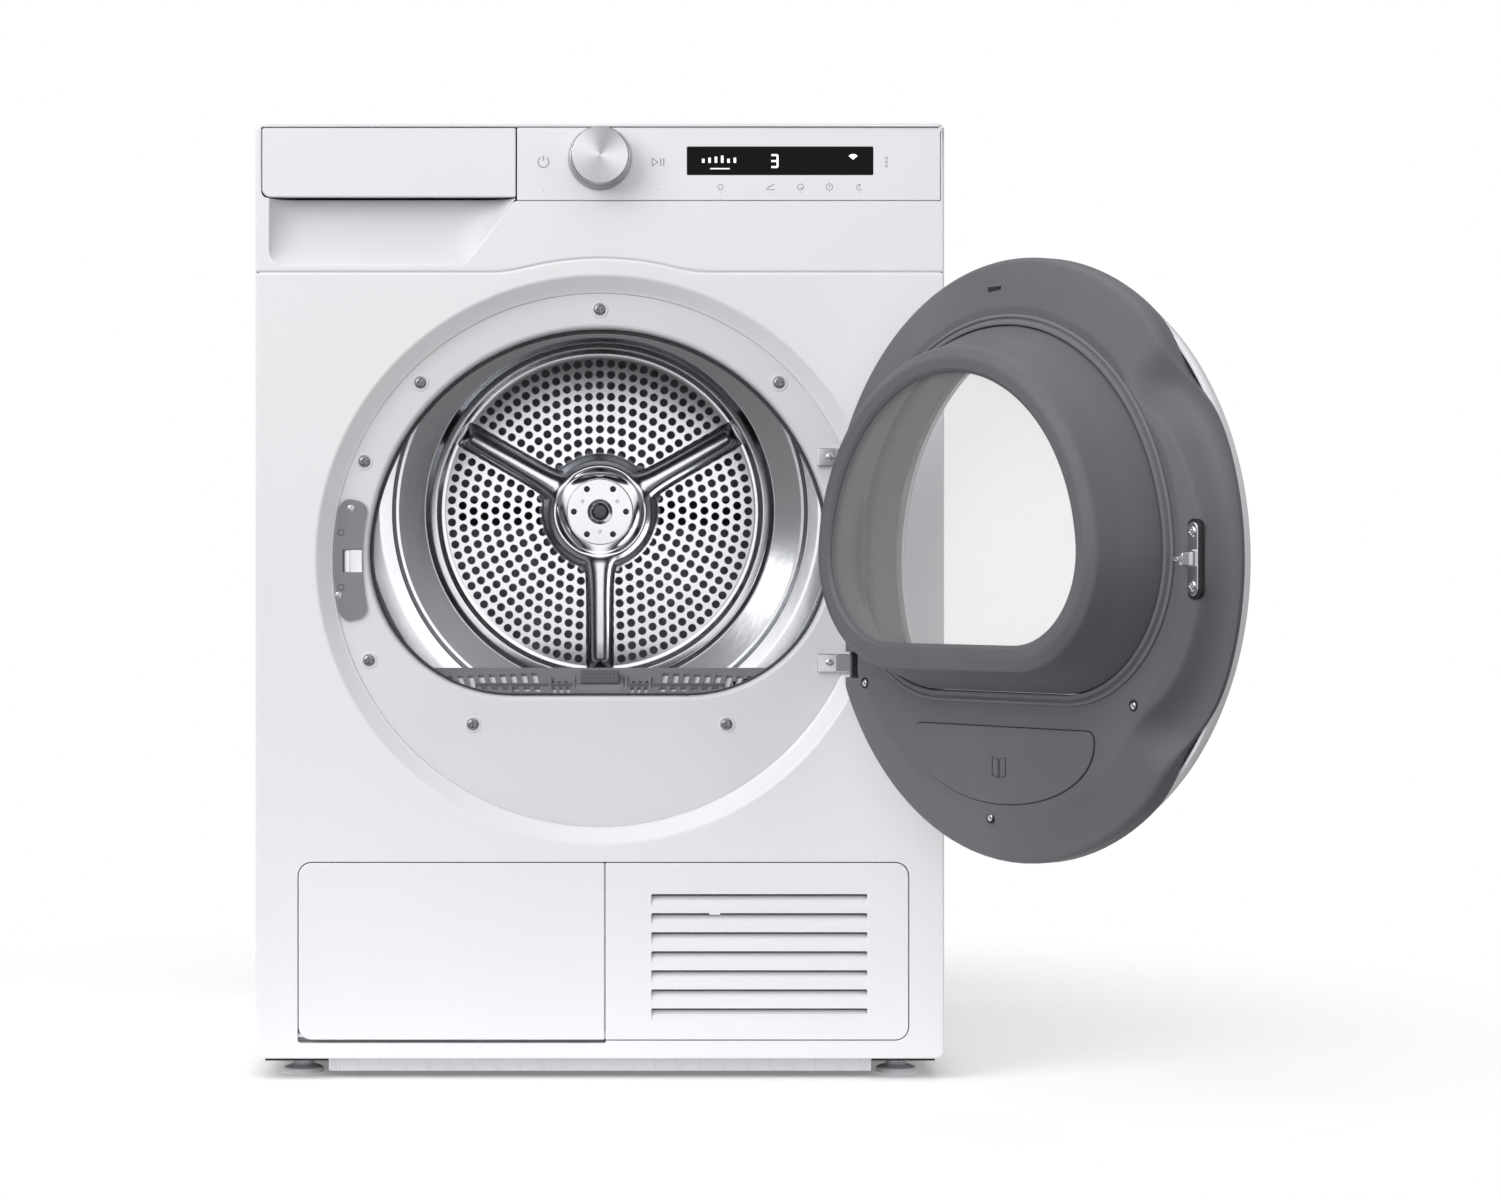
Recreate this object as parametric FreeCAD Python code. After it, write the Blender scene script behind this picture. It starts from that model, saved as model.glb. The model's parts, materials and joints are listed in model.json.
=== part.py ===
import FreeCAD, Part
import math
import os

# Free-standing condenser dryer with a round front door.
# Frame: X to the right, Y to the back, Z up, millimetres.
# The origin lies on the floor, at the centre of the four feet.

os.makedirs("parts", exist_ok=True)

# ---- cabinet ----
WIDTH = 600.0
HEIGHT = 835.0
FRONT_Y = -300.0
REAR_Y = 290.0
SHEET = 1.5                  # steel panels
MOULD = 3.0                  # plastic mouldings
CABINET_FOOT = 19.0          # lower edge of the cabinet skin
TOP_CORNER = 9.0             # radius of the long top edges
TOP_FASCIA_DEPTH = 24.0
WORKTOP_SKIRT = 803.0
HALF = WIDTH / 2

# ---- front face ----
SEAM_Z = 704.4               # joint of the front panel and the fascia
RING_Z = 453.6               # centre of the round recess and the door opening
RECESS_R = 247.0
RECESS_FLOOR_R = 233.0
RECESS_DEPTH = 15.0
SEAM_ARC_R = RECESS_R + 16.0  # the seam rises round the recess
GAP = 0.8                    # joints between outer panels

# ---- D-shaped door opening: round above, flat below ----
OPEN_R = 203.0
OPEN_FLAT = -119.6           # flat bottom, measured from the ring centre
OPEN_CORNER_R = 126.0
NECK_END = -238.0            # back end of the opening's neck

# ---- drum ----
DRUM_Z = 505.0
DRUM_R = 280.0
DRUM_WALL = 1.0
DRUM_FRONT = -226.0
DRUM_BACK = 226.0
DRUM_MOUTH_R = 243.0
SHAFT_R = 13.0
RUNNING = 0.05               # radial clearance of running fits
LIFTER_HEIGHT = 40.0
SPOKE_ANGLES = (30, 150, 270)

# ---- door, built closed and then swung to its rest angle ----
HINGE_X = 224.0
HINGE_Y = -322.0
DOOR_REST = 124.5            # degrees from closed
DOOR_Z = 452.0
DOOR_R = 245.0
SHELL_R = 241.0
DOOR_FACE = HINGE_Y + 21.5   # inner face of the frame at its rim
DOOR_STEP = HINGE_Y + 33.0   # inner face beside the tunnel
DOOR_CHORD = 219.0           # the frame is cut flat beside the hinges
TUNNEL_END = HINGE_Y + 92.0
WINDOW_R = 188.0
SHELL_OUT = HINGE_Y - 23.0
HINGE_BS = (90.0, -90.0)     # hinge heights from the ring centre
PIN_R = 4.0
EYE_R = 8.0

# ---- top section ----
DRAWER_X0, DRAWER_X1 = -295.0, -73.0
ROW_Z0, ROW_Z1 = 766.3, 830.7
DIAL_Z = 803.7
DIAL_R = 27.0
SCOOP_Z0 = 710.5
TANK_Z0, TANK_Z1 = 778.0, 826.0
TANK_BACK = 180.0

# ---- lower service row ----
LOW_X0, LOW_X1 = -262.6, 268.7
LOW_Z0, LOW_Z1 = 35.6, 189.6
LOW_SEAM = 4.4
FLAP_PIVOT_Y, FLAP_PIVOT_Z = -294.8, 39.0
FLAP_ROOM = 2.6              # below the flap, for its lower edge to swing in
LOUVRE_X0, LOUVRE_X1 = 44.9, 233.0
LOUVRE_Z0, LOUVRE_PITCH, LOUVRE_COUNT = 57.9, 16.6, 7
LOUVRE_HALF = 4.8

# ---- feet ----
FOOT_X, FOOT_Y = 262.5, 245.0
FOOT_R = 18.0

# ---- drive ----
MOTOR_X, MOTOR_Z = 205.0, 112.0
PULLEY_R = 12.0
BELT_Y0, BELT_Y1 = 20.0, 32.0
BELT_THICK = 2.0
BELT_GAP = 0.4
ROLLER_R = 22.0
ROLLER_ANGLE = 30.0          # from straight below the drum's axis

# ---- opening ring, catch and lint filter ----
RING_FRONT = FRONT_Y + RECESS_DEPTH - 1
RING_SCREWS = [(0, 219), (-157, 155), (157, 155), (-206, 86), (-202, -88), (-111, -144), (111, -144)]
SLOT_X0, SLOT_X1 = -225.0, -208.0        # slot for the door's hook
SLOT_Z0, SLOT_Z1 = RING_Z - 11, RING_Z + 9
CATCH_PIVOT = (-236.0, -272.0)
FILTER_HALF = 110.0
FILTER_Y0, FILTER_Y1 = -262.0, -252.0
HOUSING_Y0, HOUSING_Y1 = -278.0, -240.0

# ---- door details, insets measured from the D outline ----
TUNNEL_INSET = 14.0
TUNNEL_TIP_INSET = 34.0
GLASS_INSET = 58.0
LATCH_R = 216.0
LATCH_Z = RING_Z - 1.0
DOOR_SCREWS = [(-153, -112), (15, -208), (175, -103), (175, 103), (-225, 24), (-225, -24)]
LID_HALF = 112.0             # document cover
LID_LOW, LID_TOP = -196.0, -134.0

# ---- heat-exchanger cover ----
COVER_Y0 = -274.0
LEVER_XS = (-205.0, -53.0)
LEVER_Z = 160.0

# ---- back ----
GLAND_X, GLAND_Z = 230.0, 700.0
GLAND_BORE = 4.5
DRAIN_X, DRAIN_Z = -225.0, 740.0
DUCT_R = 225.0

Z_AXIS = FreeCAD.Vector(0, 0, 1)
Y_AXIS = FreeCAD.Vector(0, 1, 0)
X_AXIS = FreeCAD.Vector(1, 0, 0)


def vec(x, y, z):
    return FreeCAD.Vector(x, y, z)


def block(x0, x1, y0, y1, z0, z1):
    """A box between two corners."""
    return Part.makeBox(x1 - x0, y1 - y0, z1 - z0, vec(x0, y0, z0))


def rod_y(radius, y0, y1, x=0.0, z=0.0):
    """A round bar along Y."""
    return Part.makeCylinder(radius, y1 - y0, vec(x, y0, z), Y_AXIS)


def rod_z(radius, z0, z1, x, y):
    """A round bar along Z."""
    return Part.makeCylinder(radius, z1 - z0, vec(x, y, z0), Z_AXIS)


def rod_x(radius, x0, x1, y, z):
    """A round bar along X."""
    return Part.makeCylinder(radius, x1 - x0, vec(x0, y, z), X_AXIS)


def tube_y(outer, inner, y0, y1, x=0.0, z=0.0):
    """A round tube along Y."""
    return rod_y(outer, y0, y1, x, z).cut(rod_y(inner, y0 - 1, y1 + 1, x, z))


def cone_y(r0, r1, y0, y1, x, z):
    """A cone along Y, radius r0 at y0 and r1 at y1."""
    return Part.makeCone(r0, r1, y1 - y0, vec(x, y0, z), Y_AXIS)


def fuse(first, *others):
    """One solid out of several that touch or overlap."""
    return first.multiFuse(list(others)).removeSplitter()


def plate_xz(points, y0, y1):
    """A prism along Y over a polygon of (x, z) points."""
    ring = [vec(x, y0, z) for x, z in points]
    return Part.Face(Part.makePolygon(ring + ring[:1])).extrude(vec(0, y1 - y0, 0))


def plate_xy(points, z0, z1):
    """A prism along Z over a polygon of (x, y) points."""
    ring = [vec(x, y, z0) for x, y in points]
    return Part.Face(Part.makePolygon(ring + ring[:1])).extrude(vec(0, 0, z1 - z0))


def rounded_xz(x0, x1, z0, z1, radius, y0, y1):
    """A plate in XZ with four rounded corners."""
    solid = block(x0, x1, y0, y1, z0, z1)
    edges = [e for e in solid.Edges if abs(e.Vertexes[0].Y - e.Vertexes[1].Y) > 1e-6]
    return solid.makeFillet(radius, edges)


def d_wire(inset, y, centre_z):
    """The door opening's outline, drawn in by inset.

    The top is an arc about the centre, the two lower corners are smaller arcs that meet it
    tangentially, and the bottom is straight. The corner arcs' centres stay put as inset changes.
    """
    radius = OPEN_R - inset
    corner = OPEN_CORNER_R - inset
    flat = OPEN_FLAT + inset
    rise = OPEN_FLAT + OPEN_CORNER_R
    reach = math.sqrt((OPEN_R - OPEN_CORNER_R) ** 2 - rise ** 2)
    tilt = math.atan2(rise, reach)

    def at(x, z):
        return vec(x, y, centre_z + z)

    side = (radius * math.cos(tilt), radius * math.sin(tilt))
    half_turn = (tilt - math.pi / 2) / 2
    mid = (reach + corner * math.cos(half_turn), rise + corner * math.sin(half_turn))
    top = Part.Arc(at(side[0], side[1]), at(0, radius), at(-side[0], side[1]))
    left = Part.Arc(at(-side[0], side[1]), at(-mid[0], mid[1]), at(-reach, flat))
    base = Part.LineSegment(at(-reach, flat), at(reach, flat))
    right = Part.Arc(at(reach, flat), at(mid[0], mid[1]), at(side[0], side[1]))
    return Part.Wire([curve.toShape() for curve in (top, left, base, right)])


def d_prism(inset, y0, y1, centre_z=RING_Z):
    """A prism along Y over the D outline."""
    return Part.Face(d_wire(inset, y0, centre_z)).extrude(vec(0, y1 - y0, 0))


def d_taper(inset0, inset1, y0, y1, centre_z):
    """A solid between two D outlines of different inset."""
    return Part.makeLoft([d_wire(inset0, y0, centre_z), d_wire(inset1, y1, centre_z)], True, True)


def swing(shape):
    """Turn a door piece from closed to its rest angle."""
    turned = shape.copy()
    turned.rotate(vec(HINGE_X, HINGE_Y, 0), Z_AXIS, DOOR_REST)
    return turned


# ------------------------------------------------------------------ cabinet

def side_panel(sign):
    """A folded steel side with a front and a rear return flange."""
    x0, x1 = sorted((sign * HALF, sign * (HALF - SHEET)))
    f0, f1 = sorted((sign * (HALF - SHEET), sign * (HALF - 20)))
    fascia_back = FRONT_Y + TOP_FASCIA_DEPTH
    skin = block(x0, x1, FRONT_Y + 16, REAR_Y, CABINET_FOOT, WORKTOP_SKIRT)
    skin = skin.cut(block(x0, x1, FRONT_Y, fascia_back, SEAM_Z - GAP, WORKTOP_SKIRT))
    front = block(f0, f1, FRONT_Y + 16.5, FRONT_Y + 18, 70, 700)
    rear = block(f0, f1, REAR_Y - 3 * SHEET, REAR_Y - 2 * SHEET, 70, 800)
    return fuse(skin, front, rear)


def arch_profile(z0, inset):
    """Cross-section of the top section: square below, rounded long edges above."""
    half, top, r = HALF - inset, HEIGHT - inset, TOP_CORNER
    d = r * (1 - math.sqrt(0.5))

    def at(x, z):
        return vec(x, 0, z)

    pieces = [
        Part.LineSegment(at(-half, z0), at(-half, top - r)),
        Part.Arc(at(-half, top - r), at(-half + d, top - d), at(-half + r, top)),
        Part.LineSegment(at(-half + r, top), at(half - r, top)),
        Part.Arc(at(half - r, top), at(half - d, top - d), at(half, top - r)),
        Part.LineSegment(at(half, top - r), at(half, z0)),
        Part.LineSegment(at(half, z0), at(-half, z0)),
    ]
    return Part.Face(Part.Wire([p.toShape() for p in pieces]))


def arch_prism(z0, inset, y0, y1):
    """The top section's profile carried from y0 to y1."""
    shape = arch_profile(z0, inset).extrude(vec(0, y1 - y0, 0))
    shape.translate(vec(0, y0, 0))
    return shape


def worktop():
    """A hollow lid that rests on the side panels."""
    y0 = FRONT_Y + TOP_FASCIA_DEPTH
    outer = arch_prism(WORKTOP_SKIRT, 0, y0, REAR_Y)
    hollow = arch_prism(WORKTOP_SKIRT - 10, MOULD, y0 - 1, REAR_Y - MOULD)
    return outer.cut(hollow)


def rear_panel():
    """Flat back sheet with a hole for the mains gland."""
    x = HALF - SHEET
    sheet = block(-x, x, REAR_Y - SHEET, REAR_Y, CABINET_FOOT, WORKTOP_SKIRT)
    return sheet.cut(rod_y(9, REAR_Y - 5, REAR_Y + 1, GLAND_X, GLAND_Z))


def mains_gland():
    """Round gland with a flange outside the back sheet and a bore for the cable."""
    flange = rod_y(14, REAR_Y, REAR_Y + 5, GLAND_X, GLAND_Z)
    neck = rod_y(9, REAR_Y - 8, REAR_Y, GLAND_X, GLAND_Z)
    return fuse(flange, neck).cut(rod_y(GLAND_BORE, REAR_Y - 20, REAR_Y + 20, GLAND_X, GLAND_Z))


def rear_duct_cover():
    """Round pressed cover over the rear air channel, with the drain spigot beside it."""
    y0, y1 = REAR_Y, REAR_Y + 13
    dome = cone_y(DUCT_R, DUCT_R - 20, y0, y1, 0, DRUM_Z)
    dome = dome.cut(cone_y(DUCT_R - 3, DUCT_R - 23, y0 - 1, y1 - 2, 0, DRUM_Z))
    arm = block(-240, -150, y0, y0 + 3, DRAIN_Z - 12, DRAIN_Z + 12)
    link = plate_xz([(-175, DRAIN_Z - 12), (-150, DRAIN_Z - 12), (-120, 680), (-145, 680)], y0, y0 + 3)
    spigot = rod_y(9, y0, y0 + 22, DRAIN_X, DRAIN_Z)
    return fuse(dome, arm, link, spigot)


def base_tray():
    """Deep plastic tray under the machine, with foot sockets and ears for the flap."""
    x, y0, y1 = HALF - 6, -276.0, 284.0
    tray = block(-x, x, y0, y1, 14, 64).cut(block(-x + 6, x - 6, y0 + 6, y1 - 6, 20, 70))
    for sx in (-1, 1):
        for sy in (-1, 1):
            px, py = sx * FOOT_X, sy * FOOT_Y
            tray = tray.fuse(rod_z(14, 14, 40, px, py))
            tray = tray.cut(rod_z(5 + RUNNING, 10, 41, px, py))
    for x0 in (LOW_X0 - 6.0, LOW_SEAM + 1.2):
        ear = block(x0, x0 + 4.4, FLAP_PIVOT_Y - 2, y0 + 1, FLAP_PIVOT_Z - 2.5, FLAP_PIVOT_Z + 6)
        tray = tray.fuse(ear).cut(rod_x(2 + RUNNING, x0 - 1, x0 + 6, FLAP_PIVOT_Y, FLAP_PIVOT_Z))
    return tray.removeSplitter()


def plinth():
    """Narrow strip that closes the gap above the floor between the front feet."""
    return block(-238, 238, -280, -277, 5.5, CABINET_FOOT - 1)


def foot(sx, sy):
    """Levelling foot: flared pad, hexagon and threaded stem."""
    px, py = sx * FOOT_X, sy * FOOT_Y
    pad = rod_z(FOOT_R, 0, 5, px, py)
    flare = Part.makeCone(FOOT_R - 2, 9, 5, vec(px, py, 5), Z_AXIS)
    stem = rod_z(5, 9, 38, px, py)
    return fuse(pad, flare, stem)


def front_panel():
    """Steel front with a round drawn-in recess and a cut-out for the service row."""
    lower = block(-HALF, HALF, FRONT_Y, FRONT_Y + 16, CABINET_FOOT, SEAM_Z - GAP)
    crown = rod_y(SEAM_ARC_R - GAP, FRONT_Y, FRONT_Y + 16, 0, RING_Z)
    crown = crown.common(block(-HALF, HALF, FRONT_Y, FRONT_Y + 16, RING_Z, HEIGHT))
    inner = block(-HALF + SHEET, HALF - SHEET, FRONT_Y + SHEET, FRONT_Y + 20,
                  CABINET_FOOT + SHEET, SEAM_Z - GAP - SHEET)
    inner_crown = rod_y(SEAM_ARC_R - GAP - SHEET, FRONT_Y + SHEET, FRONT_Y + 20, 0, RING_Z)
    body = lower.fuse(crown).cut(inner.fuse(inner_crown))
    body = body.cut(rod_y(RECESS_R, FRONT_Y - 1, FRONT_Y + 20, 0, RING_Z))
    y1 = FRONT_Y + RECESS_DEPTH - 1
    bevel = cone_y(RECESS_R + SHEET, RECESS_FLOOR_R + SHEET, FRONT_Y, y1, 0, RING_Z)
    bevel = bevel.cut(cone_y(RECESS_R, RECESS_FLOOR_R, FRONT_Y, y1, 0, RING_Z))
    lower_hole = rounded_xz(LOW_X0 - GAP, LOW_X1 + GAP, LOW_Z0 - FLAP_ROOM, LOW_Z1 + GAP, 3,
                            FRONT_Y - 1, FRONT_Y + 20)
    return fuse(body, bevel).cut(lower_hole)


def opening_ring():
    """Moulded floor of the recess with the D-shaped neck that leads into the drum."""
    floor = rod_y(RECESS_FLOOR_R - 0.2, RING_FRONT, RING_FRONT + MOULD, 0, RING_Z)
    neck = d_prism(-MOULD, RING_FRONT, NECK_END)
    back = rod_y(DRUM_MOUTH_R - 8, NECK_END - MOULD, NECK_END, 0, DRUM_Z)
    ring = fuse(floor, neck, back).cut(d_prism(0, RING_FRONT - 5, NECK_END + 5))
    filter_slot = block(-FILTER_HALF - 2, FILTER_HALF + 2, FILTER_Y0 - 2, FILTER_Y1 + 2, 320, 345)
    ring = ring.cut(filter_slot)
    slot = block(SLOT_X0, SLOT_X1, RING_FRONT - 1, RING_FRONT + 5, SLOT_Z0, SLOT_Z1)
    return ring.cut(slot)


def front_bulkhead():
    """Strong plate behind the front panel, with the ring that carries the drum's mouth."""
    y0 = FRONT_Y + TOP_FASCIA_DEPTH + 0.5
    r = DRUM_MOUTH_R - 4
    plate = block(-278, 278, y0, y0 + 2, 215, 762)
    sleeve = rod_y(r, y0, NECK_END, 0, DRUM_Z)
    plate = plate.fuse(sleeve).cut(rod_y(r - 3, y0 - 1, NECK_END + 1, 0, DRUM_Z))
    for sign in (-1, 1):
        x, z = roller_centre(sign)
        plate = plate.fuse(rod_y(5, y0 + 1, DRUM_FRONT + 24, x, z))
    filter_slot = block(-FILTER_HALF - 5, FILTER_HALF + 5, FILTER_Y0 - 4, FILTER_Y1 + 4, 200, 345)
    catch_room = block(-250, -205, y0 - 5, -258, SLOT_Z0 - 10, SLOT_Z1 + 10)
    return plate.cut(filter_slot).cut(catch_room).removeSplitter()


def drum_felt():
    """Felt ring on the bulkhead's sleeve that seals the drum's mouth."""
    return tube_y(DRUM_MOUTH_R - 0.4, DRUM_MOUTH_R - 4, NECK_END - 10, NECK_END, 0, DRUM_Z)


def ring_screws():
    """Round-head screws that hold the opening ring."""
    heads = [rod_y(5, RING_FRONT - 1.2, RING_FRONT, x, RING_Z + z) for x, z in RING_SCREWS]
    return Part.makeCompound(heads)


# ------------------------------------------------------------------ lint filter and door catch

def lint_filter_housing():
    """Sloping sill at the bottom of the neck, with the duct that holds the filter below it."""
    lip = [(HOUSING_Y0, 330), (HOUSING_Y1, 330), (HOUSING_Y1, 353), (HOUSING_Y0, 340)]
    points = [vec(-190, y, z) for y, z in lip]
    wedge = Part.Face(Part.makePolygon(points + points[:1])).extrude(vec(380, 0, 0))
    sill = wedge.common(d_prism(0.2, HOUSING_Y0 - 5, HOUSING_Y1 + 5))
    x, y0, y1 = FILTER_HALF + 1, FILTER_Y0 - 1, FILTER_Y1 + 1
    sill = sill.cut(block(-x, x, y0, y1, 320, 370))
    wall = 2.0
    outer = block(-x - 0.8, x + 0.8, y0 - 0.8, y1 + 0.8, 232, 336)
    duct = outer.cut(block(-x, x, y0, y1, 234, 340))
    base = block(-x - wall, x + wall, y0 - wall, y1 + wall, 230, 234)
    return fuse(sill, duct, base)


def lint_filter():
    """Flat lint filter with a finger tab at the top."""
    body = block(-FILTER_HALF, FILTER_HALF, FILTER_Y0, FILTER_Y1, 235, 345)
    tab = block(-17, 17, FILTER_Y0 - 1, FILTER_Y1 + 1, 345, 356)
    return fuse(body, tab)


def catch_plate():
    """Kidney-shaped cover of the door catch, bent round the opening."""
    outer = tube_y(236, 207.5, RING_FRONT - 2, RING_FRONT, 0, RING_Z)
    window = block(-240, -190, RING_FRONT - 3, RING_FRONT + 1, RING_Z - 53, RING_Z + 52)
    plate = outer.common(window).common(rod_y(RECESS_FLOOR_R - 1, RING_FRONT - 3, 0, 0, RING_Z))
    return plate.cut(block(SLOT_X0, SLOT_X1, RING_FRONT - 5, RING_FRONT + 5, SLOT_Z0, SLOT_Z1))


def catch_lever():
    """Sprung lever behind the slot that drops behind the door's hook."""
    x, y = CATCH_PIVOT
    boss = rod_z(5, SLOT_Z0 - 4, SLOT_Z1 + 4, x, y)
    arm = block(x, x + 16, y - 2, y + 3, SLOT_Z0, SLOT_Z1)
    return fuse(boss, arm)


# ------------------------------------------------------------------ drum

def drum_shell():
    """Rolled steel drum, its front drawn in to a mouth with a short lip."""
    wall = tube_y(DRUM_R, DRUM_R - DRUM_WALL, DRUM_FRONT, DRUM_BACK, 0, DRUM_Z)
    front = tube_y(DRUM_R, DRUM_MOUTH_R, DRUM_FRONT - DRUM_WALL, DRUM_FRONT, 0, DRUM_Z)
    lip = tube_y(DRUM_MOUTH_R + 1.5, DRUM_MOUTH_R, DRUM_FRONT - 10, DRUM_FRONT, 0, DRUM_Z)
    return fuse(wall, front, lip)


def drum_rear_plate():
    """Back wall of the drum with a round bead, three pressed spokes and a raised hub."""
    y0, y1 = DRUM_BACK - 6, DRUM_BACK - 4
    disc = rod_y(DRUM_R - DRUM_WALL, y0, y1, 0, DRUM_Z)
    bead = tube_y(176, 162, y0 - 4, y0, 0, DRUM_Z)
    hub = rod_y(46, y0 - 5, y0, 0, DRUM_Z)
    spokes = []
    for angle in SPOKE_ANGLES:
        spoke = block(40, 165, y0 - 4, y0, DRUM_Z - 14, DRUM_Z + 14)
        spoke.rotate(vec(0, 0, DRUM_Z), Y_AXIS, -angle)
        spokes.append(spoke)
    return fuse(disc, bead, hub, *spokes)


def drum_lifters():
    """Three hollow ribs along the drum wall that carry the load up."""
    ribs = []
    for angle in SPOKE_ANGLES:
        r0 = DRUM_R - DRUM_WALL - LIFTER_HEIGHT
        rib = block(r0, DRUM_R + 5, DRUM_FRONT + 12, DRUM_BACK - 12, DRUM_Z - 24, DRUM_Z + 24)
        edges = [e for e in rib.Edges if e.CenterOfMass.x < r0 + 0.1 and e.Length > 200]
        rib = rib.makeFillet(20, edges)
        rib.rotate(vec(0, 0, DRUM_Z), Y_AXIS, -angle)
        ribs.append(rib.common(rod_y(DRUM_R - DRUM_WALL, -300, 300, 0, DRUM_Z)))
    return Part.makeCompound(ribs)


def drum_shaft():
    """Hub flange and axle behind the drum's back wall."""
    y = DRUM_BACK - 4
    flange = rod_y(60, y, y + 6, 0, DRUM_Z)
    return fuse(flange, rod_y(SHAFT_R, y, REAR_Y - 4, 0, DRUM_Z))


def hub_bolts():
    """Six bolts and the centre nut on the hub."""
    y1 = DRUM_BACK - 6 - 5
    bolts = []
    for i in range(6):
        a = math.radians(60 * i)
        bolts.append(rod_y(4.5, y1 - 3, y1, 27 * math.cos(a), DRUM_Z + 27 * math.sin(a)))
    bolts.append(rod_y(12, y1 - 4, y1, 0, DRUM_Z))
    return Part.makeCompound(bolts)


def rear_bearing():
    """Bearing block that carries the drum's axle on the back sheet."""
    y1 = REAR_Y - SHEET
    block_ = rod_y(28, y1 - 24, y1 - 2.6, 0, DRUM_Z)
    arms = block(-150, 150, y1 - 10, y1 - 3, DRUM_Z - 12, DRUM_Z + 12)
    feet = [block(x, x + 20, y1 - 10, y1, DRUM_Z - 12, DRUM_Z + 12) for x in (-150, 130)]
    return fuse(block_, arms, *feet).cut(rod_y(SHAFT_R + RUNNING, y1 - 30, y1 + 3, 0, DRUM_Z))


def roller_centre(sign):
    """Centre of a support roller, beside the drum's lowest point."""
    reach = DRUM_R + ROLLER_R + BELT_GAP
    a = math.radians(ROLLER_ANGLE)
    return sign * reach * math.sin(a), DRUM_Z - reach * math.cos(a)


def support_roller(sign):
    """Roller that the front of the drum runs on."""
    x, z = roller_centre(sign)
    return tube_y(ROLLER_R, 5 + RUNNING, DRUM_FRONT + 6, DRUM_FRONT + 22, x, z)


# ------------------------------------------------------------------ drive and heat pump

def belt_loop(drum_r, pulley_r, y0, y1):
    """Prism over the open-belt outline round the drum and the motor pulley."""
    dx, dz = MOTOR_X, MOTOR_Z - DRUM_Z
    span = math.hypot(dx, dz)
    heading = math.atan2(dz, dx)
    lean = math.acos((drum_r - pulley_r) / span)

    def at(cx, cz, r, a):
        return vec(cx + r * math.cos(a), y0, cz + r * math.sin(a))

    a0, a1 = heading + lean, heading - lean
    far = heading + math.pi
    big = Part.Arc(at(0, DRUM_Z, drum_r, a0), at(0, DRUM_Z, drum_r, far), at(0, DRUM_Z, drum_r, a1))
    small = Part.Arc(at(MOTOR_X, MOTOR_Z, pulley_r, a1), at(MOTOR_X, MOTOR_Z, pulley_r, heading),
                     at(MOTOR_X, MOTOR_Z, pulley_r, a0))
    down = Part.LineSegment(big.EndPoint, small.StartPoint)
    up = Part.LineSegment(small.EndPoint, big.StartPoint)
    wire = Part.Wire([c.toShape() for c in (big, down, small, up)])
    return Part.Face(wire).extrude(vec(0, y1 - y0, 0))


def drive_belt():
    """Flat ribbed belt from the motor pulley round the drum."""
    inner_d, inner_p = DRUM_R + BELT_GAP, PULLEY_R + BELT_GAP
    outer = belt_loop(inner_d + BELT_THICK, inner_p + BELT_THICK, BELT_Y0, BELT_Y1)
    return outer.cut(belt_loop(inner_d, inner_p, BELT_Y0 - 1, BELT_Y1 + 1))


def motor():
    """Drive motor with two mounting feet on the tray."""
    body = rod_y(52, 60, 175, MOTOR_X, MOTOR_Z)
    feet = [block(MOTOR_X - 45, MOTOR_X + 45, y, y + 14, 20, MOTOR_Z - 30) for y in (66, 155)]
    return fuse(body, *feet).cut(rod_y(7 + RUNNING, 50, 190, MOTOR_X, MOTOR_Z))


def motor_rotor():
    """Motor shaft with the belt pulley on its front end."""
    shaft = rod_y(7, 16, 232, MOTOR_X, MOTOR_Z)
    pulley = rod_y(PULLEY_R, BELT_Y0 - 2, BELT_Y1 + 2, MOTOR_X, MOTOR_Z)
    return fuse(shaft, pulley)


def fan_impeller():
    """Radial fan wheel on the motor shaft."""
    disc = rod_y(72, 226, 229, MOTOR_X, MOTOR_Z)
    hub = rod_y(14, 200, 229, MOTOR_X, MOTOR_Z)
    blades = []
    for i in range(12):
        blade = block(30, 71, 198, 227, MOTOR_Z - 1, MOTOR_Z + 1)
        blade.translate(vec(MOTOR_X, 0, 0))
        blade.rotate(vec(MOTOR_X, 0, MOTOR_Z), Y_AXIS, 30 * i)
        blades.append(blade)
    wheel = fuse(disc, hub, *blades)
    return wheel.cut(rod_y(7, 190, 240, MOTOR_X, MOTOR_Z))


def fan_housing():
    """Drum-shaped casing round the fan wheel, open in front."""
    shell = tube_y(84, 80, 190, 240, MOTOR_X, MOTOR_Z)
    back = rod_y(84, 237, 240, MOTOR_X, MOTOR_Z)
    foot_ = block(MOTOR_X - 40, MOTOR_X + 40, 200, 236, 20, MOTOR_Z - 79)
    return fuse(shell, back, foot_.cut(rod_y(81, 190, 240, MOTOR_X, MOTOR_Z)))


def finned_block(x0, x1, y0, y1, z0, z1, pitch):
    """A stack of upright fins on a base and under a cap."""
    fins = [block(x0, x1, y0, y1, z0, z0 + 6), block(x0, x1, y0, y1, z1 - 6, z1)]
    count = int((x1 - x0) / pitch)
    for i in range(count):
        x = x0 + i * pitch
        fins.append(block(x, x + pitch / 3, y0, y1, z0 + 6, z1 - 6))
    return fuse(*fins)


def compressor():
    """Round compressor pot on a foot plate."""
    pot = rod_z(58, 30, 175, 175, -150)
    pot = pot.makeFillet(14, [e for e in pot.Edges if e.CenterOfMass.z > 174 and e.Closed])
    plate = block(110, 240, -215, -85, 20, 32)
    return fuse(pot, plate)


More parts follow.
